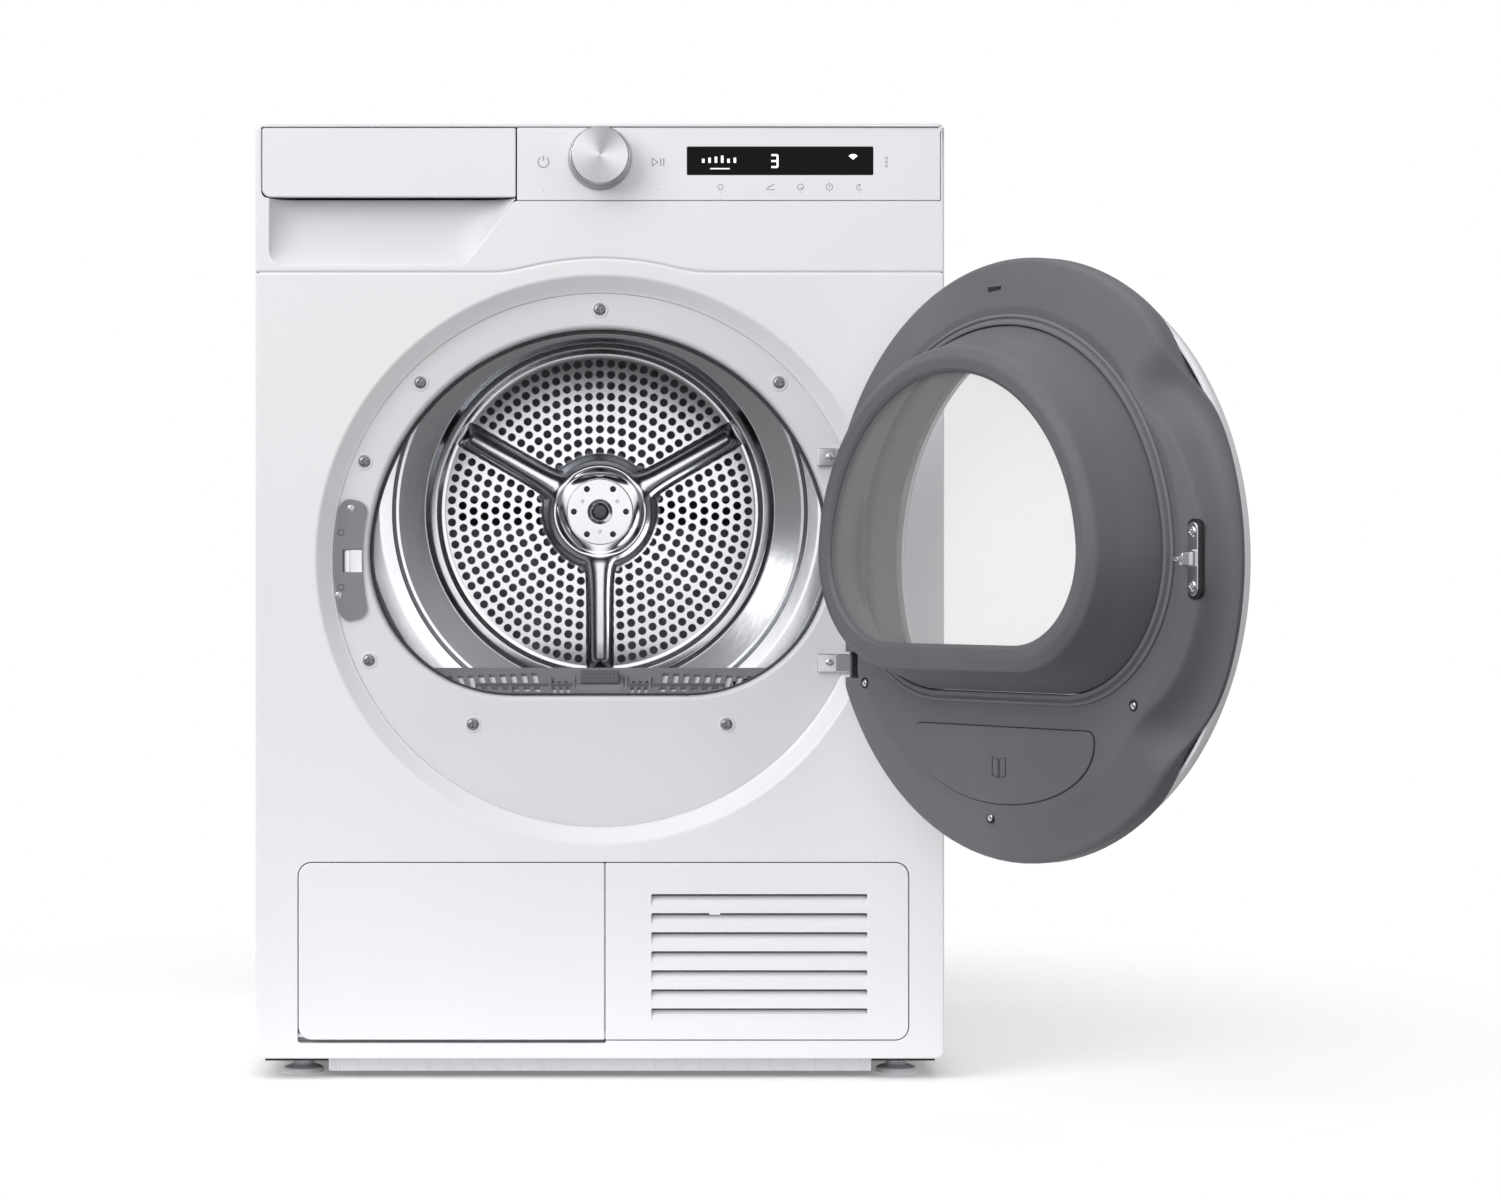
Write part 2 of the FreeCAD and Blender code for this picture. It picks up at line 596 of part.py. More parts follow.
def heat_exchanger_cover():
    """Door of the heat-exchanger bay, behind the service flap."""
    cover = rounded_xz(-246, -12, 66, 182, 10, COVER_Y0, COVER_Y0 + 6)
    for x in LEVER_XS:
        cover = cover.fuse(rod_y(6, COVER_Y0 - 8, COVER_Y0, x, LEVER_Z))
    return cover.removeSplitter()


def lock_lever(x):
    """Turning lever that locks the heat-exchanger cover."""
    boss = rod_y(12, COVER_Y0 - 8, COVER_Y0 - 1, x, LEVER_Z)
    arm = block(x - 6, x + 6, COVER_Y0 - 8, COVER_Y0 - 1, LEVER_Z - 40, LEVER_Z)
    return fuse(boss, arm).cut(rod_y(6 + RUNNING, COVER_Y0 - 10, COVER_Y0, x, LEVER_Z))


# ------------------------------------------------------------------ service row

def row_plate(x0, x1):
    """The stretch of the rounded service row between x0 and x1."""
    row = rounded_xz(LOW_X0, LOW_X1, LOW_Z0, LOW_Z1, 11.5, FRONT_Y, FRONT_Y + MOULD)
    return row.common(block(x0, x1, FRONT_Y - 1, FRONT_Y + 10, LOW_Z0, LOW_Z1))


def service_flap():
    """Flap over the heat-exchanger bay, with two moulded pivots at its lower edge."""
    flap = row_plate(LOW_X0, LOW_SEAM - GAP / 2)
    y, z = FLAP_PIVOT_Y, FLAP_PIVOT_Z
    for x0, x1, px0, px1 in ((LOW_X0 + 9, LOW_X0 + 14, LOW_X0 - 5, LOW_X0 + 10), (-5.0, 0, -1, 8.5)):
        ear = block(x0, x1, FRONT_Y + MOULD - 0.5, y + 3, z - 3, z + 5)
        flap = flap.fuse(ear).fuse(rod_x(2, px0, px1, y, z))
    return flap.removeSplitter()


def louvre_panel():
    """Fixed panel with a stack of air slots and sloping blades."""
    panel = row_plate(LOW_SEAM + GAP / 2, LOW_X1)
    for i in range(LOUVRE_COUNT):
        z = LOUVRE_Z0 + i * LOUVRE_PITCH
        slot = block(LOUVRE_X0, LOUVRE_X1, FRONT_Y - 1, FRONT_Y + 5, z - LOUVRE_HALF, z + LOUVRE_HALF)
        panel = panel.cut(slot)
    return panel


# ------------------------------------------------------------------ top section

def scoop_outline(inset):
    """Outline of the grip scoop: square left side, slanted right side."""
    return [(-288 + inset, ROW_Z0 + 3), (-288 + inset, SCOOP_Z0 + 14), (-274 + inset, SCOOP_Z0 + inset),
            (-117 - inset, SCOOP_Z0 + inset), (-74.5 - inset, ROW_Z0 + 3)]


def fascia():
    """Hollow top moulding with openings for the drawer, the scoop and the control panel."""
    y1 = FRONT_Y + TOP_FASCIA_DEPTH
    outer = arch_prism(SEAM_Z, 0, FRONT_Y, y1)
    outer = outer.cut(rod_y(SEAM_ARC_R, FRONT_Y - 1, y1 + 1, 0, RING_Z))
    hollow = arch_prism(SEAM_Z + MOULD, MOULD, FRONT_Y + MOULD, y1 + 1)
    hollow = hollow.cut(rod_y(SEAM_ARC_R + MOULD, FRONT_Y, y1 + 2, 0, RING_Z))
    row = block(DRAWER_X0, HALF - MOULD, FRONT_Y - 1, y1 + 1, ROW_Z0, ROW_Z1)
    scoop = plate_xz(scoop_outline(0), FRONT_Y - 1, FRONT_Y + 5)
    return outer.cut(hollow).cut(row).cut(scoop)


def grip_scoop():
    """Dished liner of the scoop under the drawer front."""
    outer = plate_xz(scoop_outline(0.2), FRONT_Y, FRONT_Y + 18)
    return outer.cut(plate_xz(scoop_outline(2.2), FRONT_Y - 1, FRONT_Y + 16))


def control_panel():
    """Glossy strip that carries the dial, the keys and the display."""
    x0, x1 = DRAWER_X1 + GAP, HALF - MOULD - 0.5
    plate = block(x0, x1, FRONT_Y, FRONT_Y + MOULD, ROW_Z0 + 0.5, ROW_Z1 - 0.5)
    plate = plate.cut(rod_y(9 + RUNNING, FRONT_Y - 1, FRONT_Y + 5, 0, DIAL_Z))
    return plate.cut(block(76, 238, FRONT_Y - 1, FRONT_Y + 1.5, 789, 813.4))


def display_window():
    """Dark display window, flush in the control panel."""
    return block(76, 238, FRONT_Y - 0.2, FRONT_Y + 1.5, 789, 813.4)


def program_dial():
    """Round selector knob with a wider skirt and a short shaft."""
    face = rod_y(DIAL_R - 2, FRONT_Y - 22, FRONT_Y - 8, 0, DIAL_Z)
    skirt = cone_y(DIAL_R - 1, DIAL_R + 1, FRONT_Y - 16, FRONT_Y - 0.4, 0, DIAL_Z)
    return fuse(face, skirt, rod_y(9, FRONT_Y - 5, FRONT_Y + 14, 0, DIAL_Z))


def drawer_front():
    """Front of the condensate drawer."""
    return block(DRAWER_X0 + GAP, DRAWER_X1 - GAP / 2, FRONT_Y, FRONT_Y + 8, ROW_Z0 + 3.5, ROW_Z1 - GAP)


def tank_body():
    """Flat hollow water tank behind the drawer front."""
    x0, x1 = DRAWER_X0 + 5, DRAWER_X1 - 7
    outer = block(x0, x1, FRONT_Y + 8, TANK_BACK, TANK_Z0, TANK_Z1)
    return outer.cut(block(x0 + 2.5, x1 - 2.5, FRONT_Y + 11, TANK_BACK - 2.5, TANK_Z0 + 2.5, TANK_Z1 - 2.5))


# ------------------------------------------------------------------ door

def hinge_zs():
    """Heights of the two hinges."""
    return [RING_Z + b for b in HINGE_BS]


def hinge_pockets():
    """Room for the hinge eyes in the door's edge."""
    return [rod_z(EYE_R + 2.5, z - 16, z + 16, HINGE_X, HINGE_Y) for z in hinge_zs()]


def door_frame():
    """Dark inner frame: dished ring round the tunnel, flat beside the hinges."""
    outer = rod_y(DOOR_R, HINGE_Y + 6, DOOR_FACE, 0, DOOR_Z)
    dish = cone_y(DOOR_R, OPEN_R + 2, DOOR_FACE, DOOR_STEP, 0, DOOR_Z)
    inner = rod_y(DOOR_R - MOULD, HINGE_Y, DOOR_FACE - MOULD, 0, DOOR_Z)
    inner_dish = cone_y(DOOR_R - MOULD, OPEN_R - 1, DOOR_FACE - MOULD, DOOR_STEP - MOULD, 0, DOOR_Z)
    frame = outer.fuse(dish).cut(inner.fuse(inner_dish))
    frame = frame.cut(d_prism(TUNNEL_INSET, HINGE_Y - 5, DOOR_STEP + 5, DOOR_Z))
    chord = block(DOOR_CHORD, DOOR_R + 5, HINGE_Y - 30, DOOR_STEP + 5, DOOR_Z - 260, DOOR_Z + 260)
    frame = frame.cut(chord)
    for pocket in hinge_pockets():
        frame = frame.cut(pocket)
    for z in hinge_zs():
        frame = frame.cut(block(186, DOOR_CHORD + 5, HINGE_Y + 14, DOOR_STEP + 5, z - 11, z + 11))
    return swing(frame)


def door_tunnel():
    """D-shaped funnel that reaches into the door opening and holds the inner glass."""
    y0, y1 = HINGE_Y + 2, TUNNEL_END
    outer = d_taper(TUNNEL_INSET + 0.2, TUNNEL_TIP_INSET, y0, y1, DOOR_Z)
    inner = d_taper(TUNNEL_INSET + 3.2, TUNNEL_TIP_INSET + 3, y0, y1 - MOULD, DOOR_Z)
    tunnel = outer.cut(inner)
    return swing(tunnel.cut(d_prism(GLASS_INSET, y1 - 10, y1 + 5, DOOR_Z)))


def inner_glass():
    """Moulded glass behind the tunnel's rim."""
    y1 = TUNNEL_END - MOULD
    return swing(d_prism(GLASS_INSET - 10, y1 - 5, y1, DOOR_Z))


def door_gasket():
    """Rubber seal round the tunnel's root."""
    y0 = DOOR_STEP
    outer = d_prism(5.0, y0, y0 + 5, DOOR_Z)
    return swing(outer.cut(d_taper(TUNNEL_INSET + 0.4, TUNNEL_INSET + 0.4, y0 - 1, y0 + 6, DOOR_Z)))


def door_shell():
    """White outer ring of the door, crowned towards the window."""
    rim = rod_y(SHELL_R, HINGE_Y - 2, HINGE_Y + 5.8, 0, DOOR_Z)
    crown = cone_y(WINDOW_R + 4, SHELL_R, SHELL_OUT, HINGE_Y - 2, 0, DOOR_Z)
    inner_rim = rod_y(SHELL_R - MOULD, HINGE_Y - 2, HINGE_Y + 10, 0, DOOR_Z)
    inner = cone_y(WINDOW_R + 1, SHELL_R - MOULD, SHELL_OUT + MOULD, HINGE_Y - 2, 0, DOOR_Z)
    shell = rim.fuse(crown).cut(inner_rim.fuse(inner))
    shell = shell.cut(rod_y(WINDOW_R, SHELL_OUT - 1, HINGE_Y, 0, DOOR_Z))
    for pocket in hinge_pockets():
        shell = shell.cut(pocket)
    return swing(shell)


def outer_window():
    """Clear round window in the outer ring."""
    return swing(rod_y(WINDOW_R - 0.2, SHELL_OUT, SHELL_OUT + 4, 0, DOOR_Z))


def dish_y(reach):
    """Height of the frame's dished face at a distance from the door's centre."""
    return DOOR_FACE + (DOOR_STEP - DOOR_FACE) * (DOOR_R - reach) / (DOOR_R - OPEN_R - 2)


def door_latch():
    """Steel plate on the frame with a hook that enters the catch."""
    face = dish_y(LATCH_R)
    plate = block(-LATCH_R - 6, -LATCH_R + 5, face + 1, face + 3, LATCH_Z - 28, LATCH_Z + 28)
    plate_foot = block(-LATCH_R - 3, -LATCH_R + 3, face - 8, face + 2, LATCH_Z - 4, LATCH_Z + 4)
    stem = block(-LATCH_R - 2, -LATCH_R + 2, face, face + 20, LATCH_Z - 5, LATCH_Z + 5)
    tip = block(-LATCH_R - 2, -LATCH_R + 5.5, face + 17, face + 20, LATCH_Z - 5, LATCH_Z + 5)
    return swing(fuse(plate, plate_foot, stem, tip))


def door_screws():
    """Small screws in the door's inner face."""
    screws = []
    for x, z in DOOR_SCREWS:
        y = min(dish_y(math.hypot(x, z)), DOOR_STEP)
        screws.append(swing(rod_y(3.5, y - 2, y + 1.5, x, DOOR_Z + z)))
    return Part.makeCompound(screws)


def document_cover():
    """Half-moon lid under the tunnel."""
    lid = rod_y(-LID_LOW, DOOR_STEP, DOOR_STEP + 1.2, 0, DOOR_Z)
    return swing(lid.common(block(-LID_HALF, LID_HALF, -400, 0, DOOR_Z + LID_LOW, DOOR_Z + LID_TOP)))


def hinge_brackets():
    """Two steel arms screwed to the recess floor, each with an eye for the door's pin."""
    arms = []
    for z in hinge_zs():
        outline = [(HINGE_X - 3.5, HINGE_Y), (HINGE_X + 3.5, HINGE_Y), (HINGE_X + 3.5, -300),
                   (212, -291), (212, RING_FRONT - 0.1), (190, RING_FRONT - 0.1), (190, -290),
                   (207, -290), (HINGE_X - 3.5, -303)]
        arm = plate_xy(outline, z - 8, z + 8)
        eye = rod_z(EYE_R, z - 8, z + 8, HINGE_X, HINGE_Y)
        arms.append(fuse(arm, eye).cut(rod_z(PIN_R + RUNNING, z - 20, z + 20, HINGE_X, HINGE_Y)))
    return Part.makeCompound(arms)


def hinge_leaves():
    """Door halves of the hinges: forked leaves, each with its pin."""
    leaves = []
    for z in hinge_zs():
        pin = rod_z(PIN_R, z - 14, z + 14, HINGE_X, HINGE_Y)
        plate = block(196, 214, HINGE_Y + 7, HINGE_Y + 10, z - 14, z + 14)
        solid = pin.fuse(plate)
        for z0 in (z - 14, z + 8.4):
            eye = rod_z(EYE_R, z0, z0 + 5.6, HINGE_X, HINGE_Y)
            web = block(206, HINGE_X, HINGE_Y + 2, HINGE_Y + 7.9, z0, z0 + 5.6)
            solid = solid.fuse(eye).fuse(web)
        leaves.append(swing(solid.removeSplitter()))
    return Part.makeCompound(leaves)


NODES = {
    "side_panel_left": side_panel(-1), "side_panel_right": side_panel(1), "worktop": worktop(),
    "rear_panel": rear_panel(), "mains_gland": mains_gland(), "rear_duct_cover": rear_duct_cover(),
    "base_tray": base_tray(), "plinth": plinth(),
    "foot_front_left": foot(-1, -1), "foot_front_right": foot(1, -1),
    "foot_rear_left": foot(-1, 1), "foot_rear_right": foot(1, 1),
    "front_panel": front_panel(), "opening_ring": opening_ring(), "front_bulkhead": front_bulkhead(),
    "drum_felt": drum_felt(), "ring_screws": ring_screws(),
    "lint_filter_housing": lint_filter_housing(), "lint_filter": lint_filter(),
    "catch_plate": catch_plate(), "catch_lever": catch_lever(),
    "drum_shell": drum_shell(), "drum_rear_plate": drum_rear_plate(), "drum_lifters": drum_lifters(),
    "drum_shaft": drum_shaft(), "hub_bolts": hub_bolts(), "rear_bearing": rear_bearing(),
    "support_roller_left": support_roller(-1), "support_roller_right": support_roller(1),
    "drive_belt": drive_belt(), "motor": motor(), "motor_rotor": motor_rotor(),
    "fan_impeller": fan_impeller(), "fan_housing": fan_housing(),
    "evaporator": finned_block(-255, -35, -228, -60, 20, 165, 14),
    "condenser": finned_block(-255, -35, -40, 150, 20, 165, 10),
    "compressor": compressor(), "heat_exchanger_cover": heat_exchanger_cover(),
    "lock_lever_left": lock_lever(LEVER_XS[0]), "lock_lever_right": lock_lever(LEVER_XS[1]),
    "service_flap": service_flap(), "louvre_panel": louvre_panel(),
    "fascia": fascia(), "grip_scoop": grip_scoop(), "control_panel": control_panel(),
    "display_window": display_window(), "program_dial": program_dial(),
    "drawer_front": drawer_front(), "tank_body": tank_body(),
    "door_frame": door_frame().cut(door_screws()).cut(door_latch()),
    "door_tunnel": door_tunnel(), "inner_glass": inner_glass(),
    "door_gasket": door_gasket(), "door_shell": door_shell(), "outer_window": outer_window(),
    "door_latch": door_latch(), "door_screws": door_screws(), "document_cover": document_cover(),
    "hinge_brackets": hinge_brackets(), "hinge_leaves": hinge_leaves(),
}

for name, shape in NODES.items():
    shape.exportStep("parts/" + name + ".step")
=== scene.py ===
import json
import math

import bmesh
import bpy
import numpy as np
from mathutils.geometry import delaunay_2d_cdt
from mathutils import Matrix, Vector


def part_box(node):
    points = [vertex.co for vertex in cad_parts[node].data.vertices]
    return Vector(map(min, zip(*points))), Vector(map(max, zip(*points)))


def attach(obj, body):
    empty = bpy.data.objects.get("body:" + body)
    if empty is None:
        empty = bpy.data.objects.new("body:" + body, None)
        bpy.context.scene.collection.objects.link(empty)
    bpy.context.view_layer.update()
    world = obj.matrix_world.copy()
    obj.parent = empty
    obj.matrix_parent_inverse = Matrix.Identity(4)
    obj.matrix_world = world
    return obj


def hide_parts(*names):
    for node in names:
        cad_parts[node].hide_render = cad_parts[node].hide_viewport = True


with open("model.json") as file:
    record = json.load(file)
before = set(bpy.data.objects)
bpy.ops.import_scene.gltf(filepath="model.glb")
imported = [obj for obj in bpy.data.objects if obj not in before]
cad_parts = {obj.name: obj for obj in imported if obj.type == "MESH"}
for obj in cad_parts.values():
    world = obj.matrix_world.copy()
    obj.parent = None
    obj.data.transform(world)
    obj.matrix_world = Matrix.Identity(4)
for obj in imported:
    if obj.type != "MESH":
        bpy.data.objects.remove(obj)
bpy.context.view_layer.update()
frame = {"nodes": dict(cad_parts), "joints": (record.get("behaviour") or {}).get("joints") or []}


# ------------------------------------------------------------ camera
# Level and straight in front of the dryer, a little above the middle of the door opening.
# The frame is shifted sideways, so that the open door has room beside the cabinet.
camera = bpy.data.objects.new("camera", bpy.data.cameras.new("camera"))
camera.location = (0, -3.3, 0.4405)
camera.rotation_euler = (math.pi / 2, 0, 0)
camera.data.sensor_width = 36
camera.data.lens = 82.6
camera.data.shift_x = 0.1003
camera.data.shift_y = -0.0167
bpy.context.scene.collection.objects.link(camera)
bpy.context.scene.camera = camera


# ------------------------------------------------------------ room
# A white sweep with soft boxes: one large light high on the left, a weaker one on the right,
# and one overhead. The sweep's edge fades out into the white surroundings.
class Socket:
    """A shader value: arithmetic on it adds Math nodes to the tree it belongs to."""

    def __init__(self, owner, socket):
        self.owner, self.socket = owner, socket

    def __add__(self, other):
        return self.owner.maths("ADD", self, other)

    __radd__ = __add__

    def __sub__(self, other):
        return self.owner.maths("SUBTRACT", self, other)

    def __rsub__(self, other):
        return self.owner.maths("SUBTRACT", other, self)

    def __mul__(self, other):
        return self.owner.maths("MULTIPLY", self, other)

    __rmul__ = __mul__

    def above(self, low, high):
        """0 below low, 1 above high and a smooth rise between them."""
        inputs = {"Value": self, 1: low, 2: high}
        return self.owner.node("ShaderNodeMapRange", {"interpolation_type": "SMOOTHSTEP"}, inputs)


class Tree:
    """A node tree that is filled one node at a time."""

    def __init__(self, tree):
        self.tree = tree

    def feed(self, target, value):
        """Links a socket, or sets a plain value."""
        if isinstance(value, Socket):
            self.tree.links.new(value.socket, target)
        else:
            target.default_value = value

    def node(self, kind, settings=None, inputs=None, output=0):
        """Adds a node, sets it up, feeds its inputs and returns one of its outputs."""
        made = self.tree.nodes.new(kind)
        for key, value in (settings or {}).items():
            setattr(made, key, value)
        for key, value in (inputs or {}).items():
            self.feed(made.inputs[key], value)
        return Socket(self, made.outputs[output])

    def maths(self, operation, first, second=0.0):
        """One Math node on values or sockets."""
        return self.node("ShaderNodeMath", {"operation": operation}, {0: first, 1: second})


class Finish(Tree):
    """A procedural finish: one Principled shader, and patterns that read Object coordinates."""

    def __init__(self, name, colour, roughness, **uniform):
        self.material = bpy.data.materials.new(name)
        self.material.use_nodes = True
        super().__init__(self.material.node_tree)
        self.shader = self.tree.nodes["Principled BSDF"]
        self.set("Base Color", colour)
        self.set("Roughness", roughness)
        for key, value in uniform.items():
            self.set(key.replace("_", " "), value)
        self.place = self.node("ShaderNodeTexCoord", output="Object")

    def set(self, socket, value):
        """Feeds one of the shader's sockets."""
        self.feed(self.shader.inputs[socket], value)

    def mix(self, factor, first, second):
        """A colour between two colours."""
        inputs = {0: factor, 6: first, 7: second}
        return self.node("ShaderNodeMix", {"data_type": "RGBA"}, inputs, 2)

    def noise(self, scale, detail=2.0, stretch=(1, 1, 1), shift=(0, 0, 0)):
        """Soft random values round 0.5, features about 1/scale metres long."""
        inputs = {"Vector": self.place, "Scale": stretch, "Location": shift}
        place = self.node("ShaderNodeMapping", None, inputs)
        return self.node("ShaderNodeTexNoise", None, {"Vector": place, "Scale": scale, "Detail": detail})

    def relief(self, height, distance, strength=1.0):
        """Bumps the surface by height times distance in metres."""
        inputs = {"Height": height, "Distance": distance, "Strength": strength}
        self.set("Normal", self.node("ShaderNodeBump", None, inputs))

    def parts(self):
        """The x, y and z of the place, as three sockets."""
        return [self.node("ShaderNodeSeparateXYZ", None, {0: self.place}, k) for k in range(3)]


def tone(red, green, blue):
    """A display colour from 0 to 255 as a linear one."""
    c = np.array([red, green, blue]) / 255
    linear = np.where(c > 0.04045, ((c + 0.055) / 1.055) ** 2.4, c / 12.92)
    return (*linear.tolist(), 1.0)


floor_mesh = bpy.data.meshes.new("floor")
floor_mesh.from_pydata([(-6, -6, 0), (6, -6, 0), (6, 6, 0), (-6, 6, 0)], [], [(0, 1, 2, 3)])
floor = bpy.data.objects.new("floor", floor_mesh)
bpy.context.scene.collection.objects.link(floor)
sweep = Finish("pale floor", (0.93, 0.93, 0.94, 1), 0.7)
distance = sweep.node("ShaderNodeVectorMath", {"operation": "LENGTH"}, {0: sweep.place}, "Value")
sweep.set("Alpha", 1 - distance.above(0.35, 1.05))
sweep.set("Emission Color", (1, 1, 1, 1))
sweep.set("Emission Strength", 0.2)
floor_mesh.materials.append(sweep.material)

world = bpy.data.worlds.new("studio")
world.use_nodes = True
bpy.context.scene.world = world
sky = Tree(world.node_tree)
seen = sky.node("ShaderNodeLightPath", output="Is Camera Ray")
through = sky.node("ShaderNodeLightPath", output="Is Transmission Ray")
background = world.node_tree.nodes["Background"]
white = (seen + through).above(0.0, 1.0)
sky.feed(background.inputs["Color"], (1, 1, 1, 1))
up = sky.node("ShaderNodeSeparateXYZ", None, {0: sky.node("ShaderNodeTexCoord", output="Generated")}, "Z")
ambient = 0.2 + 0.24 * up.above(-0.6, 0.6)
sky.feed(background.inputs["Strength"], ambient + (1 - ambient) * white)
bpy.context.scene.view_settings.view_transform = "Standard"


def softbox(name, place, target, width, height, power):
    """A rectangular area light at place that faces target."""
    lamp = bpy.data.lights.new(name, "AREA")
    lamp.shape = "RECTANGLE"
    lamp.size, lamp.size_y, lamp.energy = width, height, power
    light = bpy.data.objects.new(name, lamp)
    light.location = place
    light.rotation_euler = aim(place, target)
    bpy.context.scene.collection.objects.link(light)


def aim(place, target):
    """The turn that points an object's -Z from place to target."""
    x, y, z = np.subtract(target, place)
    return (math.pi / 2 + math.atan2(z, math.hypot(x, y)), 0, math.atan2(y, x) - math.pi / 2)


softbox("key", (-2.3, -2.4, 2.2), (0, -0.2, 0.5), 2.4, 2.4, 74)
softbox("side fill", (2.6, -1.9, 1.3), (0.2, -0.2, 0.5), 1.2, 2.2, 9)
softbox("overhead", (0.0, -0.3, 3.2), (0, 0, 0), 3.6, 3.6, 38)
softbox("front", (0.2, -4.4, 1.1), (0.1, 0, 0.5), 2.6, 1.8, 19)


# ------------------------------------------------------------ front panel
# The steel front, deep-drawn round the door opening and cut away for the service row.
# Enamelled white; its rim is folded back and hooks on the two sides.
MM = 0.001


def corners(node):
    """A CAD node's lowest and highest corner in millimetres."""
    lo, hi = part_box(node)
    return np.array(lo) / MM, np.array(hi) / MM


def weave(rows, cols, close_rows=False, close_cols=True):
    """Quads of a grid numbered row by row: each point with its neighbours ahead and beside."""
    i = np.arange(rows if close_rows else rows - 1)[:, None]
    j = np.arange(cols if close_cols else cols - 1)[None, :]
    i1, j1 = (i + 1) % rows, (j + 1) % cols
    return np.stack([i * cols + j, i1 * cols + j, i1 * cols + j1, i * cols + j1], -1).reshape(-1, 4)


def gather(*shapes):
    """Several meshes as one: points stacked, and faces moved on by the points before them."""
    points, faces, base = [], [], 0
    for mesh_points, mesh_faces in shapes:
        points.append(mesh_points)
        faces += [block + base for block in mesh_faces]
        base += len(mesh_points)
    return np.vstack(points), faces


def lift(outline, y):
    """An (x, z) outline as points at height y."""
    return np.column_stack([outline[:, 0], np.full(len(outline), float(y)), outline[:, 1]])


def trace(stops, closed=True, step=0.22):
    """A line through (a, b, radius) stops, each rounded by an arc that touches both its sides."""
    runs = []
    for k, (a, b, radius) in enumerate(stops):
        here = np.array([a, b], float)
        if radius == 0 or (not closed and k in (0, len(stops) - 1)):
            runs.append(here[None])
            continue
        back = np.array(stops[k - 1][:2], float) - here
        ahead = np.array(stops[(k + 1) % len(stops)][:2], float) - here
        back, ahead = back / np.linalg.norm(back), ahead / np.linalg.norm(ahead)
        half = math.acos(np.clip(back @ ahead, -1, 1)) / 2
        middle = back + ahead
        centre = here + middle / np.linalg.norm(middle) * radius / math.sin(half)
        first = here + back * radius / math.tan(half) - centre
        last = here + ahead * radius / math.tan(half) - centre
        start = math.atan2(first[1], first[0])
        span = (math.atan2(last[1], last[0]) - start + math.pi) % (2 * math.pi) - math.pi
        t = start + span * np.linspace(0, 1, int(abs(span) / step) + 3)
        runs.append(centre + radius * np.column_stack([np.cos(t), np.sin(t)]))
    return np.vstack(runs)


def box_line(x0, x1, z0, z1, radius):
    """A rounded rectangle, anticlockwise."""
    return trace([(x0, z0, radius), (x1, z0, radius), (x1, z1, radius), (x0, z1, radius)])


def circle(x, z, radius, count=96):
    """A circle, anticlockwise."""
    t = np.linspace(0, 2 * math.pi, count, endpoint=False)
    return np.column_stack([x + radius * np.cos(t), z + radius * np.sin(t)])


def inward(outline, reach):
    """The outline moved in by reach: each point goes along the mitre of its two side normals."""
    ahead = np.roll(outline, -1, 0) - outline
    ahead = ahead / np.linalg.norm(ahead, axis=1)[:, None]
    behind = np.roll(ahead, 1, 0)
    left, right = np.column_stack([-ahead[:, 1], ahead[:, 0]]), np.column_stack([-behind[:, 1],
        behind[:, 0]])
    share = 1 + (left * right).sum(1)
    return outline + reach * (left + right) / np.maximum(share, 0.3)[:, None]


def within(places, outlines):
    """Even-odd rule: inside where a ray to the right crosses the outlines an odd number of times."""
    count = np.zeros(len(places), int)
    px, pz = places[:, :1], places[:, 1:]
    for outline in outlines:
        a, b = outline, np.roll(outline, -1, 0)
        rise = np.where(a[:, 1] == b[:, 1], 1.0, b[:, 1] - a[:, 1])
        cross = (b[:, 0] - a[:, 0]) * (pz - a[:, 1]) / rise + a[:, 0]
        count += (((a[:, 1] > pz) != (b[:, 1] > pz)) & (px < cross)).sum(1)
    return count % 2 == 1


def flat(outlines, y):
    """A flat face between an outline and its holes: their triangulation, less what lies in a hole."""
    points = np.vstack(outlines)
    ends, base = [], 0
    for outline in outlines:
        ring = base + np.arange(len(outline))
        ends.append(np.column_stack([ring, np.roll(ring, -1)]))
        base += len(outline)
    sides = np.vstack(ends).tolist()
    result = delaunay_2d_cdt([tuple(p) for p in points.tolist()], sides, [], 0, 1e-6)
    made = np.array([tuple(p) for p in result[0]])
    triangles = np.array(result[2])
    keep = within(made[triangles].mean(1), outlines)
    return lift(made, y), [triangles[keep]]


def skin(sides):
    """A pressed face: walls through each side's (outline, y) rows, joined by one flat face."""
    walls = []
    for rows in sides:
        points = np.vstack([lift(outline, y) for outline, y in rows])
        walls.append((points, [weave(len(rows), len(rows[0][0]))]))
    return gather(*walls, flat([rows[-1][0] for rows in sides], sides[0][-1][1]))


def rim(outline, front, back, edge, side=1, steps=3):
    """Rows of a wall that turns into the front face by a quarter circle; side -1 is for a hole."""
    down = math.copysign(1, back - front)
    turn = np.linspace(0, math.pi / 2, steps + 1)
    rows = [(inward(outline, side * edge * (1 - math.cos(a))), front + down * edge * (1 - math.sin(a)))
            for a in turn]
    return [(outline, back)] + rows


def plate(outline, front, back, edge=0.6, holes=(), steps=3):
    """A closed flat plate with rounded front edges round its outline and its holes."""
    sides = [rim(outline, front, back, edge, 1, steps)]
    sides += [rim(hole, front, back, edge, -1, steps) for hole in holes]
    return gather(skin(sides), flat([outline, *holes], back))


def plate_flat(outline, holes, front, back):
    """A closed plate with square edges."""
    walls = [(np.vstack([lift(line, back), lift(line, front)]), [weave(2, len(line))])
             for line in [outline, *holes]]
    return gather(*walls, flat([outline, *holes], front), flat([outline, *holes], back))


